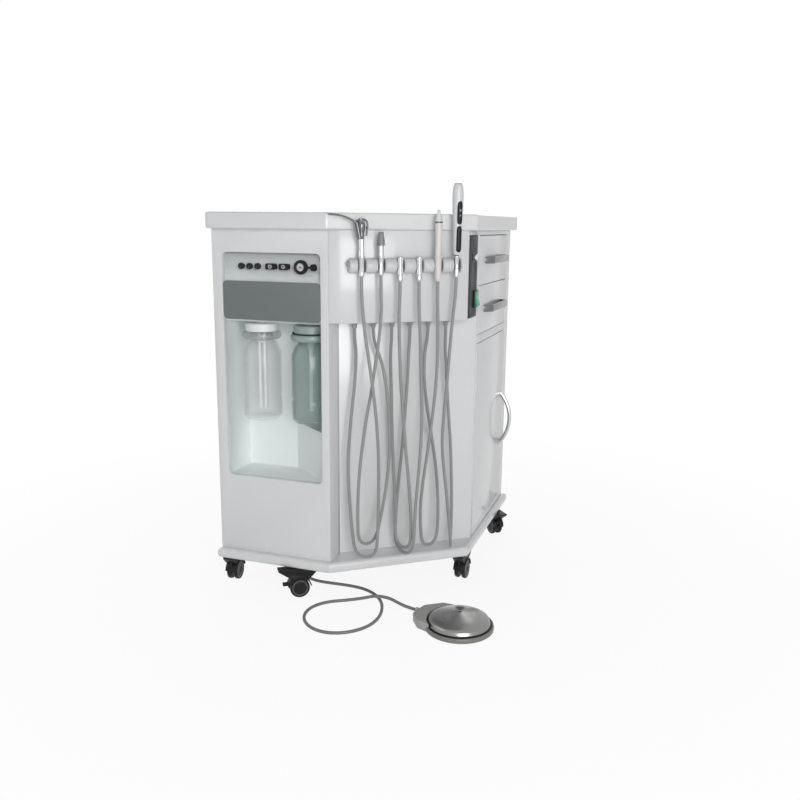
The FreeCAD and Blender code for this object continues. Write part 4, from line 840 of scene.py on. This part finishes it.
# ---------------------------------------------------------------- camera and light
@dataclass(frozen=True)
class Lamp:
    """One soft square lamp."""

    name: str
    place: Point
    size: float
    power: float

    def hang(self, aim: Point) -> None:
        """Hangs the lamp so that it faces a point.

        Args:
            aim: The point.
        """
        lamp = bpy.data.lights.new(self.name, "AREA")
        lamp.size = self.size
        lamp.energy = self.power
        made = bpy.data.objects.new(self.name, lamp)
        ahead = Vector(aim) - Vector(self.place)
        made.matrix_world = Matrix.Translation(self.place) @ ahead.to_track_quat("-Z", "Y").to_matrix().to_4x4()
        bpy.context.scene.collection.objects.link(made)


@dataclass
class Studio:
    """Camera, floor, backdrop and soft light."""

    eye: Point = (0.65437, -1.86491, 0.82606)
    yaw: float = 18.726
    pitch: float = 11.822
    roll: float = 0.552
    lens: float = 37.651
    aim: Point = (0.0, 0.0, 0.45)
    sky: float = 0.25
    shade: float = 0.12
    floor_half: float = 30.0
    floor_darker: Colour = (0.90, 0.90, 0.90)
    floor_lighter: Colour = (0.94, 0.94, 0.94)
    lamps: tuple[Lamp, ...] = (
        Lamp("key", (1.62, -2.70, 0.95), 1.7, 55.0),
        Lamp("side", (-2.6, -1.6, 1.8), 2.0, 9.0),
        Lamp("back", (-0.8, 2.8, 2.4), 2.4, 29.0),
    )

    def build(self) -> None:
        """Sets up the whole studio."""
        self._camera()
        self._floor()
        self._world()
        for lamp in self.lamps:
            lamp.hang(self.aim)
        bpy.context.scene.view_settings.view_transform = "Standard"

    def _camera(self) -> None:
        """Places the camera."""
        yaw, pitch, roll = (math.radians(angle) for angle in (self.yaw, self.pitch, self.roll))
        ahead = Vector((-math.sin(yaw) * math.cos(pitch), math.cos(yaw) * math.cos(pitch), -math.sin(pitch)))
        level = Vector((math.cos(yaw), math.sin(yaw), 0.0))
        upright = level.cross(ahead)
        right = level * math.cos(roll) + upright * math.sin(roll)
        up = upright * math.cos(roll) - level * math.sin(roll)
        turn = Matrix((right, up, -ahead)).transposed().to_4x4()
        lens = bpy.data.cameras.new("camera")
        lens.lens = self.lens
        lens.sensor_width = 36.0
        lens.sensor_fit = "HORIZONTAL"
        camera = bpy.data.objects.new("camera", lens)
        camera.matrix_world = Matrix.Translation(self.eye) @ turn
        bpy.context.scene.collection.objects.link(camera)
        bpy.context.scene.camera = camera

    def _floor(self) -> None:
        """Lays the pale floor."""
        floor = Workpiece()
        bmesh.ops.create_grid(floor.mesh, x_segments=8, y_segments=8, size=self.floor_half)
        mesh = bpy.data.meshes.new("floor")
        floor.mesh.to_mesh(mesh)
        floor.mesh.free()
        paint = bpy.data.materials.new("pale_floor")
        paint.use_nodes = True
        graph = Graph(paint.node_tree)
        cloud = graph.noise(2.0, 2.0)
        colour = graph.blend(cloud, self.floor_darker, self.floor_lighter)
        matte = graph.node("ShaderNodeBsdfDiffuse", inputs={"Color": colour})
        lit = graph.node("ShaderNodeEmission", inputs={"Color": WHITE, "Strength": 1.0})
        place = graph.node("ShaderNodeTexCoord", output="Object")
        place = graph.node("ShaderNodeMapping", inputs={"Vector": place, "Scale": (0.7, 0.7, 0.7)})
        near = graph.node("ShaderNodeTexGradient", {"gradient_type": "SPHERICAL"}, {"Vector": place}, output=1)
        rays = self._direct_rays(graph)
        mixed = graph.node("ShaderNodeMixShader", inputs={0: rays * (1.0 - near * self.shade), 1: matte, 2: lit})
        graph.node("ShaderNodeOutputMaterial", inputs={"Surface": mixed})
        mesh.materials.append(paint)
        made = bpy.data.objects.new("floor", mesh)
        bpy.context.scene.collection.objects.link(made)

    @staticmethod
    def _direct_rays(graph: Graph) -> Signal:
        """1 on camera, glossy and transmission rays, else 0.

        Args:
            graph: The tree to build in.

        Returns:
            The mask.
        """
        parts = [
            graph.node("ShaderNodeLightPath", output=name)
            for name in ("Is Camera Ray", "Is Glossy Ray", "Is Transmission Ray")
        ]
        total = parts[0] + parts[1] + parts[2]
        return graph.node("ShaderNodeMath", {"operation": "MINIMUM"}, {0: total, 1: 1.0})

    def _world(self) -> None:
        """Sets a white background and an even fill."""
        world = bpy.data.worlds.new("studio")
        bpy.context.scene.world = world
        world.use_nodes = True
        graph = Graph(world.node_tree)
        rays = self._direct_rays(graph)
        fill = graph.node("ShaderNodeBackground", inputs={"Color": (0.97, 0.98, 1.0), "Strength": self.sky})
        white = graph.node("ShaderNodeBackground", inputs={"Color": WHITE, "Strength": 1.0})
        mixed = graph.node("ShaderNodeMixShader", inputs={0: rays, 1: fill, 2: white})
        graph.node("ShaderNodeOutputWorld", inputs={"Surface": mixed})


# ---------------------------------------------------------------- sub-assemblies
@dataclass
class Cabinet:
    """Boards, drawers, door and their handles."""

    board_edge: float = 1.2

    def build(self) -> None:
        """Dresses the cabinet."""
        for node in ("worktop", "base_board", "back_panel"):
            dress(node, BOARD)
        dress("inner_case", CASE)
        for node in ("left_panel", "front_panel", "corner_panel", "right_frame"):
            softened_node(node, BOARD, "cabinet", self.board_edge)
        for level in ("upper", "lower"):
            softened_node(f"{level}_drawer", BOARD, f"{level}_drawer", self.board_edge)
            softened_node(f"{level}_drawer_handle", HANDLE, f"{level}_drawer", 1.6)
        softened_node("door_panel", BOARD, "door", self.board_edge)
        dress("door_pivots", STEEL)
        Workpiece.copy_of("door_handle").finished("door_bow", CHROME, "door", ["door_handle"])
        softened_node("compressor", PUMP, "cabinet", 2.0)


@dataclass
class BottleBay:
    """The moulded tub, its controls and the two bottles."""

    tub_edge: float = 1.4
    bottle_x: tuple[float, float] = (PIVOTS["water_bottle_twist"].x, PIVOTS["waste_bottle_twist"].x)
    radius: float = 43.0
    neck: float = 27.0
    bottom: float = 395.0
    hollow_low: float = 266.0
    hollow_high: float = 618.0
    hollow_depth: float = 49.5
    knob_seat: float = 15.0
    sleeve_seat: float = 12.6
    sleeve_shift: float = 15.5

    def build(self) -> None:
        """Builds and dresses the bay."""
        self._tub()
        self._controls()
        self._bottles()

    def _tub(self) -> None:
        """The tub with eased edges, and the smoked cover."""
        tub = Workpiece.copy_of("bottle_bay")
        tub.soften(7.0, 4, 35.0, lambda edge: not edge.is_convex and self._is_inside(edge))
        tub.soften(self.tub_edge, 2, 35.0, lambda edge: edge.is_convex)
        tub.finished("moulded_tub", TUB, "cabinet", ["bottle_bay"])
        softened_node("smoked_panel", SMOKE, "cabinet", 0.8)

    def _is_inside(self, edge: bmesh.types.BMEdge) -> bool:
        """Whether an edge belongs to the lower hollow.

        Args:
            edge: The edge.

        Returns:
            True for an edge of the hollow.
        """
        deepest = BOTTLE_Y + self.hollow_depth
        return all(self.hollow_low < point.co.z < self.hollow_high and point.co.y < deepest for point in edge.verts)

    def _controls(self) -> None:
        """Knobs, couplers, gauge and regulator on the light strip."""
        for index in (1, 2, 3):
            x = PIVOTS[f"valve_{index}_turn"].x
            knob = Workpiece.turned(
                [(0, 0), (4.6, 0), (6.4, 1.4), (6.4, 8.4), (4.0, 10.4), (3.4, 14.7), (2.3, 14.7), (2.3, 18.4),
                 (0, 18.4)],
                48,
            )
            knob.ribbed(1.6, 8.2, 0.45, 4)
            place = Matrix.Translation((x, BAY_FRONT - self.knob_seat, CONTROL_HEIGHT)) @ FACE_OUT.inverted()
            knob.moved(place).finished(f"fluted_knob_{index}", BLACK, f"valve_knob_{index}", [f"valve_knob_{index}"])
            pointer = Workpiece.block((-0.9, 0.6, -0.5), (0.9, 5.2, 0.2)).soften(0.2, 2)
            pointer.moved(place).finished(f"knob_mark_{index}", HUB_GREY_AND_HIGHLIGHT, f"valve_knob_{index}")
        softened_node("quick_couplers", BLACK, "cabinet", 1.0)
        pair = middle("quick_couplers").x
        for side, x in (("left", pair - self.sleeve_shift), ("right", pair + self.sleeve_shift)):
            sleeve = Workpiece.turned([(2.0, 0), (4.4, 0), (4.4, 7), (2.0, 7)], 40, ring=True).soften(0.3, 2)
            sleeve.moved(Matrix.Translation((x, BAY_FRONT - self.sleeve_seat, CONTROL_HEIGHT)) @ FACE_OUT.inverted())
            sleeve.finished(f"coupler_sleeve_{side}", STEEL, "cabinet")
        self._gauge()
        knob = Workpiece.turned(
            [(0, 0), (1.9, 0), (1.9, 15), (6.0, 15), (6.8, 16), (6.8, 24.6), (6.0, 25.4), (0, 25.4)], 48
        )
        knob.ribbed(16.4, 24.2, 0.3, 2)
        axis = PIVOTS["regulator_turn"]
        knob.moved(Matrix.Translation((corners("regulator_knob")[0].x, axis.y, axis.z)) @ ALONG_X)
        knob.finished("regulator_grip", BLACK, "regulator_knob", ["regulator_knob"])

    @staticmethod
    def _gauge() -> None:
        """The gauge: a thick black bezel with its dial, ticks, needle and glass."""
        low, high = corners("pressure_gauge")
        place = Matrix.Translation(((low.x + high.x) / 2, BAY_FRONT, CONTROL_HEIGHT)) @ FACE_OUT
        bezel = Workpiece.turned(
            [(0, 0.2), (13.2, 0.2), (15.0, 2.0), (15.0, 9.0), (14.0, 11.0), (10.6, 11.8), (8.4, 10.4), (8.4, 8.6),
             (0, 8.6)],
            56,
        ).soften(0.4, 2, 20.0)
        bezel.moved(place).finished("gauge_bezel", BLACK, "cabinet", ["pressure_gauge"])
        Workpiece.turned([(0, 8.5), (8.3, 8.5), (8.3, 9.0), (0, 9.0)], 48).moved(place).finished(
            "gauge_dial", DIAL, "cabinet"
        )
        ticks = Workpiece()
        first_tick, tick_step, needle_turn = 225, 27, -30
        for index in range(11):
            turn = Matrix.Rotation(math.radians(first_tick - tick_step * index), 4, "Z")
            long = 2.2 if index % 5 == 0 else 1.4
            ticks.joined(Workpiece.block((7.9 - long, -0.2, 8.9), (7.9, 0.2, 9.2)).moved(turn))
        ticks.moved(place).finished("gauge_ticks", BLACK, "cabinet")
        turn = Matrix.Rotation(math.radians(needle_turn), 4, "Z")
        needle = Workpiece.block((-2.2, -0.4, 9.3), (5.8, 0.4, 9.6)).moved(turn)
        needle.joined(Workpiece.turned([(0, 9.0), (1.8, 9.0), (1.8, 9.9), (0, 9.9)], 24)).moved(place)
        needle.finished("gauge_needle", BLACK, "cabinet")
        Workpiece.turned([(0, 10.0), (8.5, 10.0), (8.5, 10.3), (0, 10.7)], 48).moved(place).finished(
            "gauge_glass", GLASS, "cabinet"
        )

    def _bottle_profile(self) -> Profile:
        """Outside and inside of one bottle.

        Returns:
            Radius and height of each point.
        """
        low, r, neck = self.bottom, self.radius, self.neck
        return [
            (0, low + 6), (r - 16, low + 4), (r - 12, low), (r - 5, low), (r, low + 6), (r, 440), (r - 1.2, 443),
            (r - 1.2, 449), (r, 452), (r, 545), (r - 3, 553), (neck + 7, 565), (neck, 572), (neck, 600),
            (neck - 2.4, 600), (neck - 2.4, 573), (neck + 4, 565), (r - 5.5, 551), (r - 2.4, 544), (r - 2.4, 452),
            (r - 3.4, 449), (r - 3.4, 443), (r - 2.4, 440), (r - 2.4, low + 8), (r - 8, low + 4), (0, low + 9),
        ]

    def _bottles(self) -> None:
        """Both bottles with their caps, dip tubes and seals."""
        sides = (("water_bottle", WATER), ("waste_bottle", WASTE))
        for x, (name, finish) in zip(self.bottle_x, sides):
            wall = Workpiece.turned(self._bottle_profile(), 72).soften(1.6, 3, 14.0).at(x, BOTTLE_Y)
            wall.finished(f"{name}_wall", finish, name, [name])
        cap_profile = [
            (0, 600.5), (27.4, 600.5), (27.4, 592.4), (35.6, 592.4), (36.4, 593.6), (36.4, 607.4), (34.0, 610.4),
            (14, 611), (14, 617), (0, 617),
        ]
        collar_profile = [
            (28.0, 575.0), (37.5, 575.0), (42.6, 578.4), (43.6, 583.0), (42.8, 588.6), (38.4, 592.0), (28.0, 592.0),
        ]
        fittings = (
            (self.bottle_x[0], "water", CAP, COLLAR, ["bottle_caps"]),
            (self.bottle_x[1], "waste", WASTE_CAP, WASTE_CAP, []),
        )
        for x, name, lid, band, replaced in fittings:
            cap = Workpiece.turned(cap_profile, 72).soften(0.8, 2, 20.0).ribbed(594.0, 607.0, 0.12, 2)
            cap.at(x, BOTTLE_Y).finished(f"{name}_screw_cap", lid, "cabinet", replaced)
            collar = Workpiece.turned(collar_profile, 72, ring=True).soften(0.8, 2, 20.0)
            collar.at(x, BOTTLE_Y).finished(f"{name}_collar", band, "cabinet")
        tubes = Workpiece()
        for shift in (-6.5, 6.5):
            tubes.joined(Workpiece.turned([(1.8, 416), (3.4, 416), (3.4, 600), (1.8, 600)], 32, ring=True).at(shift))
        tubes.joined(Workpiece.turned([(0, 566), (11.5, 566), (12.5, 567.5), (12.5, 571), (0, 571)], 40))
        tubes.at(self.bottle_x[0], BOTTLE_Y).finished("water_dip_tubes", CAP, "cabinet")
        tube = Workpiece.turned([(2.6, 418), (4.5, 418), (4.5, 600), (2.6, 600)], 32, ring=True)
        tube.joined(Workpiece.turned([(4.4, 556), (7.5, 558), (7.5, 572), (4.4, 574)], 32, ring=True))
        tube.at(self.bottle_x[1], BOTTLE_Y).finished("waste_dip_tube", CAP, "cabinet")
        dark_ring = Workpiece.turned([(30.0, 590.8), (40.6, 590.8), (40.6, 593.6), (30.0, 593.6)], 64, ring=True)
        dark_ring.soften(0.9, 3).at(self.bottle_x[1], BOTTLE_Y).finished("waste_seal", BLACK, "cabinet")


@dataclass
class InstrumentSide:
    """Hanger box, its switch panel, the rail and what stands in it."""

    rail_inset: float = -11.3
    rail_height: float = 743.0
    barrel: float = 15.6
    near_gap: float = 0.9
    far_gap: float = 3.2
    grips: tuple[float, ...] = (6.5, 6.0, 6.0, 6.0, 7.5, 5.5)

    def build(self) -> None:
        """Builds and dresses the instrument side."""
        softened_node("hanger_box", BOX, "cabinet", 1.5)
        self._switches()
        self._rail()
        self._syringe()
        self._couplings()
        self._scaler()
        self._light()
        softened_node("hose_glands", GLAND_AND_SLOT_SHADE, "cabinet", 0.5)

    def _switches(self) -> None:
        """The dark end panel with its lit rocker and key switch."""
        softened_node("switch_panel", DARK, "cabinet", 0.5)
        rocker = Workpiece.copy_of("power_rocker").soften(0.7, 2, 12.0).at(2.6)
        rocker.finished("lit_rocker", GREEN, "power_rocker", ["power_rocker"])
        frame_ring = Workpiece.block((-0.2, -15.4, -19.4), (4.2, 15.4, 19.4))
        front = [face for face in frame_ring.mesh.faces if face.normal.x > 0.5]
        back = [face for face in frame_ring.mesh.faces if face.normal.x < -0.5]
        for face in (front[0], back[0]):
            bmesh.ops.inset_region(frame_ring.mesh, faces=[face], thickness=2.3, use_even_offset=True)
        inner = [face for face in frame_ring.mesh.faces if abs(face.normal.x) > 0.5 and face.calc_area() > 900]
        rims = [edge for face in inner for edge in face.edges]
        bmesh.ops.delete(frame_ring.mesh, geom=inner, context="FACES_ONLY")
        bmesh.ops.bridge_loops(frame_ring.mesh, edges=rims)
        axis = PIVOTS["rocker_tilt"]
        frame_ring._closed().soften(0.6, 2).at(END_FACE, axis.y, axis.z)
        frame_ring.finished("rocker_frame", BLACK, "cabinet")
        key = Matrix.Translation(PIVOTS["key_turn"]) @ ALONG_X
        Workpiece.turned([(5.6, 0), (10.5, 0), (10.5, 1.2), (9.2, 2.2), (8.6, 2.2), (5.6, 0.2)], 56, ring=True).moved(
            key
        ).finished("key_ring", GUNMETAL, "cabinet")
        softened_node("key_switch", CHROME, "key_switch", 0.5)

    def _rail(self) -> None:
        """Pale barrels between the slots, on a darker grey inner rod with a foot to the box; the rod's grey also
        paints the shade in the slots, and grey discs on the barrel ends that face the slots are painted shade.
        """
        ahead = Matrix.Translation((44.5, -3.4, self.rail_height)) @ ALONG_X
        # Darker grey inner rod: a real part, whose grey also stands in for the shade in the slots.
        rod_and_slot_shade = Workpiece.turned([(0, 0), (7.4, 0), (7.4, 246), (0, 246)], 48).soften(1.5, 3).moved(ahead)
        rail = Workpiece.block((52, -2, self.rail_height - 9), (283, 5.2, self.rail_height + 9)).soften(1.2, 2)
        starts = [44.0] + [place + grip + self.far_gap for place, grip in zip(SLOTS, self.grips)]
        ends = [place - grip - self.near_gap for place, grip in zip(SLOTS, self.grips)] + [291.0]
        r = self.barrel
        for start, end in zip(starts, ends):
            long = end - start
            ease = min(4.0, long * 0.3)
            side = [
                (0, 0), (r - 3, 0), (r - 0.6, ease * 0.5), (r, ease), (r, long - ease), (r - 0.6, long - ease * 0.5),
            ]
            place = Matrix.Translation((start, self.rail_inset, self.rail_height)) @ ALONG_X
            rail.joined(Workpiece.turned([*side, (r - 3, long), (0, long)], 56).moved(place))
            # Grey disc on each barrel end that faces a slot: painted shade on the slot's far wall.
            if start > 50.0:
                rod_and_slot_shade.joined(Workpiece.turned([(0, -0.7), (r - 2, -0.7), (r - 2, 0.1), (0, 0.1)], 48).moved(place))
        rail.moved(SLANT).finished("rail_barrels", RAIL, "cabinet", ["holder_rail"])
        rod_and_slot_shade.joined(Workpiece.ball((4.4, 5.6, 5.6), (43.4, self.rail_inset, self.rail_height + 4.0)))
        rod_and_slot_shade.moved(SLANT).finished("rail_rod_slot_shade", GLAND_AND_SLOT_SHADE, "cabinet")

    @staticmethod
    def _standing(piece: Workpiece, slot: int) -> Workpiece:
        """Stands a turned piece in a slot.

        Args:
            piece: The piece, on the Z axis.
            slot: The slot's number from the left.

        Returns:
            The piece in place.
        """
        return piece.moved(SLANT @ Matrix.Translation((SLOTS[slot], SLOT_INSET, 0.0)))

    @staticmethod
    def _rest(radius: float) -> list[tuple[float, float]]:
        """The flange that rests on the rail.

        Args:
            radius: The grip's radius.

        Returns:
            Points from the grip out and back.
        """
        return [(radius, 759.4), (radius + 1.6, 759.9), (radius + 1.6, 761.8), (radius, 763.2)]

    def _syringe(self) -> None:
        """The three-way syringe: grip, dark head, lever and bent nozzle with its collar."""
        grip = Workpiece.turned(
            [(0, 721), (4.3, 721), (6.3, 724), (6.3, 730), (5.6, 731), (6.3, 732), *self._rest(6.3), (5.7, 778),
             (5.7, 797), (5.2, 797.6), (0, 797.6)],
            48,
        ).soften(0.5, 2, 18.0)
        self._standing(grip, 0).finished("syringe_grip", CHROME, "syringe", ["syringe_body"])
        head = Workpiece.turned(
            [(0, 796.8), (5.0, 796.8), (5.2, 803), (5.6, 809), (6.4, 814), (7.6, 820), (8.0, 826), (6.0, 832),
             (0, 832.6)],
            48,
        ).soften(0.5, 2, 18.0)
        self._standing(head, 0).finished("syringe_head", HANDLE, "syringe")
        collar = Workpiece.bent([(-4.4, -3.4, 798), (-6.0, -3.4, 806), (-8.2, -2.6, 817), (-10.3, -1.0, 830)], 4.5)
        nozzle = Workpiece.bent(
            [(-10.3, -1.0, 829), (-15.0, 0, 832.5), (-23.0, 0, 836.6), (-33.0, 0, 840.8), (-45.0, 0, 844.2),
             (-57.0, 0, 845.8), (-69.0, 0, 846)],
            2.1,
        )
        arch = Workpiece.bent([(-9.6, -0.6, 831.0), (-7.6, 0, 833.8), (-5.0, 0, 835.8), (-2.6, 0, 836.2)], 2.5)
        nozzle.joined(collar).joined(arch)
        self._standing(nozzle, 0).finished("syringe_tube", GUNMETAL, "syringe", ["syringe_nozzle"])
        lever = Workpiece.bent(
            [(1.5, 0, 836.4), (4.5, 0, 836.4), (10.4, 0, 834.0), (13.4, 0, 828), (13.0, 0, 820), (11.4, 0, 811),
             (10.6, 0, 803)],
            1.8,
        )
        lever.joined(Workpiece.bent([(1.5, 0, 836.3), (3.4, 0, 836.3), (5.5, 0, 836.0)], 2.5))
        stem = Workpiece.turned([(0, 10.3), (2.6, 10.3), (2.6, 13.2), (0, 13.2)], 32)
        lever.joined(stem.moved(Matrix.Translation((0, 0, 820)) @ ALONG_X))
        self._standing(lever, 0).finished("syringe_lever", GUNMETAL, "syringe_button", ["syringe_button"])

    def _couplings(self) -> None:
        """The capped coupling and the two bare ones."""
        stem = Workpiece.turned(
            [(0, 723), (4.2, 723), (5.8, 726), (5.8, 740), *self._rest(5.8), (5.4, 770), (5.8, 772), (5.8, 784),
             (0, 784)],
            48,
        ).soften(0.4, 2, 18.0)
        cap = Workpiece.turned(
            [(0, 783.6), (7.8, 784.4), (7.4, 796), (6.2, 802), (5.4, 811), (4.8, 812), (0, 812)], 48
        )
        cap.ribbed(785.0, 796.0, 0.25, 3)
        self._standing(stem, 1).finished("capped_stem", CHROME, "capped_coupling", ["capped_coupling"])
        self._standing(cap, 1).finished("coupling_cap", GREY_CAP, "capped_coupling")
        for name, slot in (("motor_coupling", 2), ("turbine_coupling", 3)):
            body = Workpiece.turned(
                [(0, 710), (4.2, 710), (5.8, 714), (5.8, 722), (5.0, 723.5), (5.8, 725), (5.8, 759.4), (6.8, 759.7),
                 (6.8, 760.8), (5.0, 761.6), (3.6, 762.2), (0, 762.2)],
                48,
            ).soften(0.4, 2, 18.0)
            body.ribbed(726.0, 758.0, 0.12, 3)
            self._standing(body, slot).finished(f"{name}_body", CHROME, name, [name])

    def _scaler(self) -> None:
        """The scaler handpiece: warm white shell, dark ring and white nose."""
        shell = Workpiece.turned(
            [(0, 710), (4.6, 710), (7.2, 716), (7.4, 730), *self._rest(7.4), (7.0, 790), (7.6, 822), (8.3, 827),
             (8.3, 830.5), (7.0, 830.6), (7.0, 833.6), (0, 833.6)],
            56,
        ).soften(0.5, 2, 16.0)
        self._standing(shell, 4).finished("scaler_shell", HAND, "scaler_handpiece", ["scaler_handpiece"])
        ring = Workpiece.turned([(6.5, 830.7), (8.3, 830.7), (8.3, 833.5), (6.5, 833.5)], 48, ring=True)
        ring.soften(0.3, 2)
        self._standing(ring, 4).finished("scaler_ring", GUNMETAL, "scaler_handpiece")
        nose = Workpiece.turned(
            [(0, 833.4), (7.6, 833.6), (7.2, 838), (5.8, 843), (4.4, 848), (3.7, 853), (3.3, 856), (2.2, 857.6),
             (0, 857.8)],
            40,
        ).soften(0.6, 2, 12.0)
        self._standing(nose, 4).finished("scaler_nose", LIGHT, "scaler_handpiece")

    def _light(self) -> None:
        """The curing light: slim white shell on a bright stub, black key pads, keys and a grey tip."""
        shell = Workpiece.turned(
            [(0, 764), (6.8, 765), (8.4, 772), (9.2, 790), (9.7, 815), (10.4, 838), (11.3, 862), (11.8, 880),
             (11.6, 893), (10.4, 903), (9.4, 908.4), (8.6, 910.4), (0, 910.6)],
            64,
        ).soften(1.0, 3, 10.0)
        self._standing(shell, 5).finished("light_shell", LIGHT, "curing_light", ["curing_light"])
        stub = Workpiece.turned(
            [(0, 718), (4.0, 718), (5.3, 721), (5.3, 735), (4.7, 736.5), (5.3, 738), *self._rest(5.3), (0, 766)], 48
        ).soften(0.4, 2, 18.0)
        self._standing(stub, 5).finished("light_stub", CHROME, "curing_light")
        tip = Workpiece.turned([(0, 910.4), (8.2, 910.4), (7.6, 911.7), (0, 911.8)], 48)
        self._standing(tip, 5).finished("light_tip", GREY_CAP, "curing_light")
        pads = Workpiece()
        for low, high, reach, lean in ((770.0, 825.6, 7.9, 1.5), (827.4, 876.0, 9.6, 2.2)):
            rise = high - low
            side = [
                (0, 0), (3.2, 0.8), (5.2, 4.0), (5.8, 9.0), (5.8, rise - 9), (5.0, rise - 4), (3.0, rise - 0.8),
                (0, rise),
            ]
            pad = Workpiece.turned(side, 40).at(z=-rise / 2).moved(Matrix.Diagonal((1.0, 0.62, 1.0, 1.0)))
            pads.joined(pad.moved(Matrix.Rotation(math.radians(lean), 4, "X")).at(0.8, -reach, (low + high) / 2))
        self._standing(pads, 5).finished("light_key_pad", BLACK, "curing_light")
        keys = Workpiece()
        for height, size in ((857.0, 2.4), (846.0, 1.6)):
            keys.joined(Workpiece.ball((size, 1.0, size * 1.2), (0.8, -12.9 - (height - 846.0) * 0.03, height)))
        self._standing(keys, 5).finished("light_keys", GREY_CAP, "curing_light")


@dataclass
class FootControl:
    """The pressed disc in its ring, with the housing of its hose."""

    hole: float = 3.4
    seat: float = 69.0
    arm_angle: float = 166.0
    roof: float = 19.0
    slope_start: float = 72.0
    slope_long: float = 29.5
    slope_drop: float = 2.5

    def build(self) -> None:
        """Builds and dresses the foot control."""
        ring = Workpiece.turned(
            [(0, 0), (70.5, 0), (73, 1.5), (73, 7.5), (72.3, 10), (71, 11), (69.4, 11), (69.4, 4), (0, 4)], 96
        ).soften(0.5, 2, 30.0)
        ring.at(*PEDAL).finished("pedal_ring", RING, "cabinet", ["pedal_base"])
        # Black ring in the gap between the disc and its ring: painted shade of the gap.
        dark_ring = Workpiece.turned(
            [(66.6, 4.2), (69.2, 4.2), (69.2, 11.6), (68.4, 12.2), (66.9, 12.2), (66.6, 11)], 96, ring=True
        )
        dark_ring.at(*PEDAL).finished("pedal_gap_shade_ring", BLACK, "cabinet")
        self._housing()
        disc = Workpiece.turned(
            [(self.hole, 36), (self.hole + 0.8, 37.6), (10, 36.2), (33, 30.6), (57, 24.6), (61.5, 22.6), (63.8, 19.6),
             (65.2, 15.5), (66, 13), (65.8, 11.6), (64.2, 11.6), (63.4, 15), (62, 18.6), (59.8, 21), (56, 22.6),
             (32, 28.6), (10, 34.2), (self.hole, 35)],
            96,
            ring=True,
        ).soften(0.5, 2, 12.0)
        disc.at(*PEDAL).finished("pressed_disc", SPUN, "pedal_disc", ["pedal_disc"])
        socket = Workpiece.turned([(0, 34.5), (3.6, 34.5), (3.6, 36.6), (2.2, 36.6), (0, 35.2)], 40)
        socket.joined(Workpiece.turned([(0, 12.6), (5.9, 12.6), (5.9, 34.8), (0, 34.8)], 40))
        socket.at(*PEDAL).finished("disc_screw", BLACK, "pedal_disc")

    def _is_roof_edge(self, edge: bmesh.types.BMEdge) -> bool:
        """Whether an edge lies on the housing's roof, clear of the disc.

        Args:
            edge: The edge.

        Returns:
            True for an outer edge of the roof.
        """
        return all(point.co.z > self.roof - 1.0 and point.co.xy.length > self.seat + 0.5 for point in edge.verts)

    def _housing(self) -> None:
        """The housing on the hose's side, with its inlet."""
        arc = [math.radians(angle) for angle in range(52, -53, -8)]
        outline = [
            (41.7, -55.0), (72, -50.4), (97, -27), (101.5, -20), (101.5, 20), (97, 27), (72, 50.4), (41.7, 55.0),
        ]
        outline += [(self.seat * math.cos(angle), self.seat * math.sin(angle)) for angle in arc]
        body = Workpiece.prism(outline, 0.3, self.roof)
        body.soften(4.0, 4, 30.0, self._is_roof_edge)
        for point in body.mesh.verts:
            if point.co.z > 12.0:
                point.co.z -= self.slope_drop * max(0.0, (point.co.x - self.slope_start) / self.slope_long)
        inlet = Workpiece.turned([(0, 0), (6, 0), (6, 6.0), (5.2, 6.4), (0, 6.4)], 40).soften(0.4, 2)
        body.joined(inlet.moved(Matrix.Translation((100.0, 0, 12)) @ ALONG_X))
        place = Matrix.Translation(PEDAL) @ Matrix.Rotation(math.radians(self.arm_angle), 4, "Z")
        body.moved(place).finished("pedal_housing", HOUSING, "cabinet")


@dataclass
class Casters:
    """Five twin-wheel casters."""

    radius: float = 22.5
    names: tuple[str, ...] = ("left_front", "front_corner", "side_corner", "right_back", "left_back")

    def build(self) -> None:
        """Builds and dresses every caster."""
        for name in self.names:
            softened_node(f"caster_{name}", BLACK, f"caster_{name}", 0.5)
            axle = PIVOTS[f"spin_{name}"]
            behind = axle - PIVOTS[f"swivel_{name}"]
            turn = Matrix.Rotation(math.atan2(behind.y, behind.x), 4, "Z")
            place = Matrix.Translation(axle) @ turn @ FACE_OUT
            self._wheels().moved(place).finished(f"twin_wheels_{name}", TREAD, f"wheels_{name}", [f"wheels_{name}"])
            self._rings().moved(place).finished(f"hub_ring_painted_highlight_{name}", HUB_GREY_AND_HIGHLIGHT, f"wheels_{name}")

    def _wheels(self) -> Workpiece:
        """Both wheels and their axle, along Z.

        Returns:
            The wheels.
        """
        r = self.radius
        side = [
            (0, 11.2), (6.0, 11.2), (7.0, 12.2), (13.6, 12.2), (14.6, 11.6), (18.4, 11.6), (19.4, 12.6),
            (r - 1.6, 13.3), (r - 0.2, 11.6), (r, 8.6), (r - 0.2, 5.4), (r - 1.6, 3.7), (10, 3.6), (0, 3.6),
        ]
        wheels = Workpiece.turned(side, 64).soften(0.4, 2, 20.0)
        other = Workpiece.turned([(radius, -height) for radius, height in side], 64).soften(0.4, 2, 20.0)
        return wheels.joined(other, Workpiece.turned([(0, -4), (3, -4), (3, 4), (0, 4)], 32))

    @staticmethod
    def _rings() -> Workpiece:
        """Grey hub rings on both sides; their grey, lighter than the black tread, paints the small ring highlights of
        the wheels.

        Returns:
            The rings.
        """
        profile = [(14.8, 11.4), (18.2, 11.4), (18.0, 12.5), (15.0, 12.5)]
        rings = Workpiece.turned(profile, 56, ring=True)
        return rings.joined(Workpiece.turned([(radius, -height) for radius, height in profile], 56, ring=True))


def main() -> None:
    """Builds every sub-assembly in order."""
    logging.basicConfig(level=logging.INFO, format="%(message)s")
    Studio().build()
    for hose in HOSES:
        hose.build()
    for part in (Cabinet(), BottleBay(), InstrumentSide(), FootControl(), Casters()):
        LOG.info("%s", type(part).__name__)
        part.build()


if __name__ == "__main__":
    main()
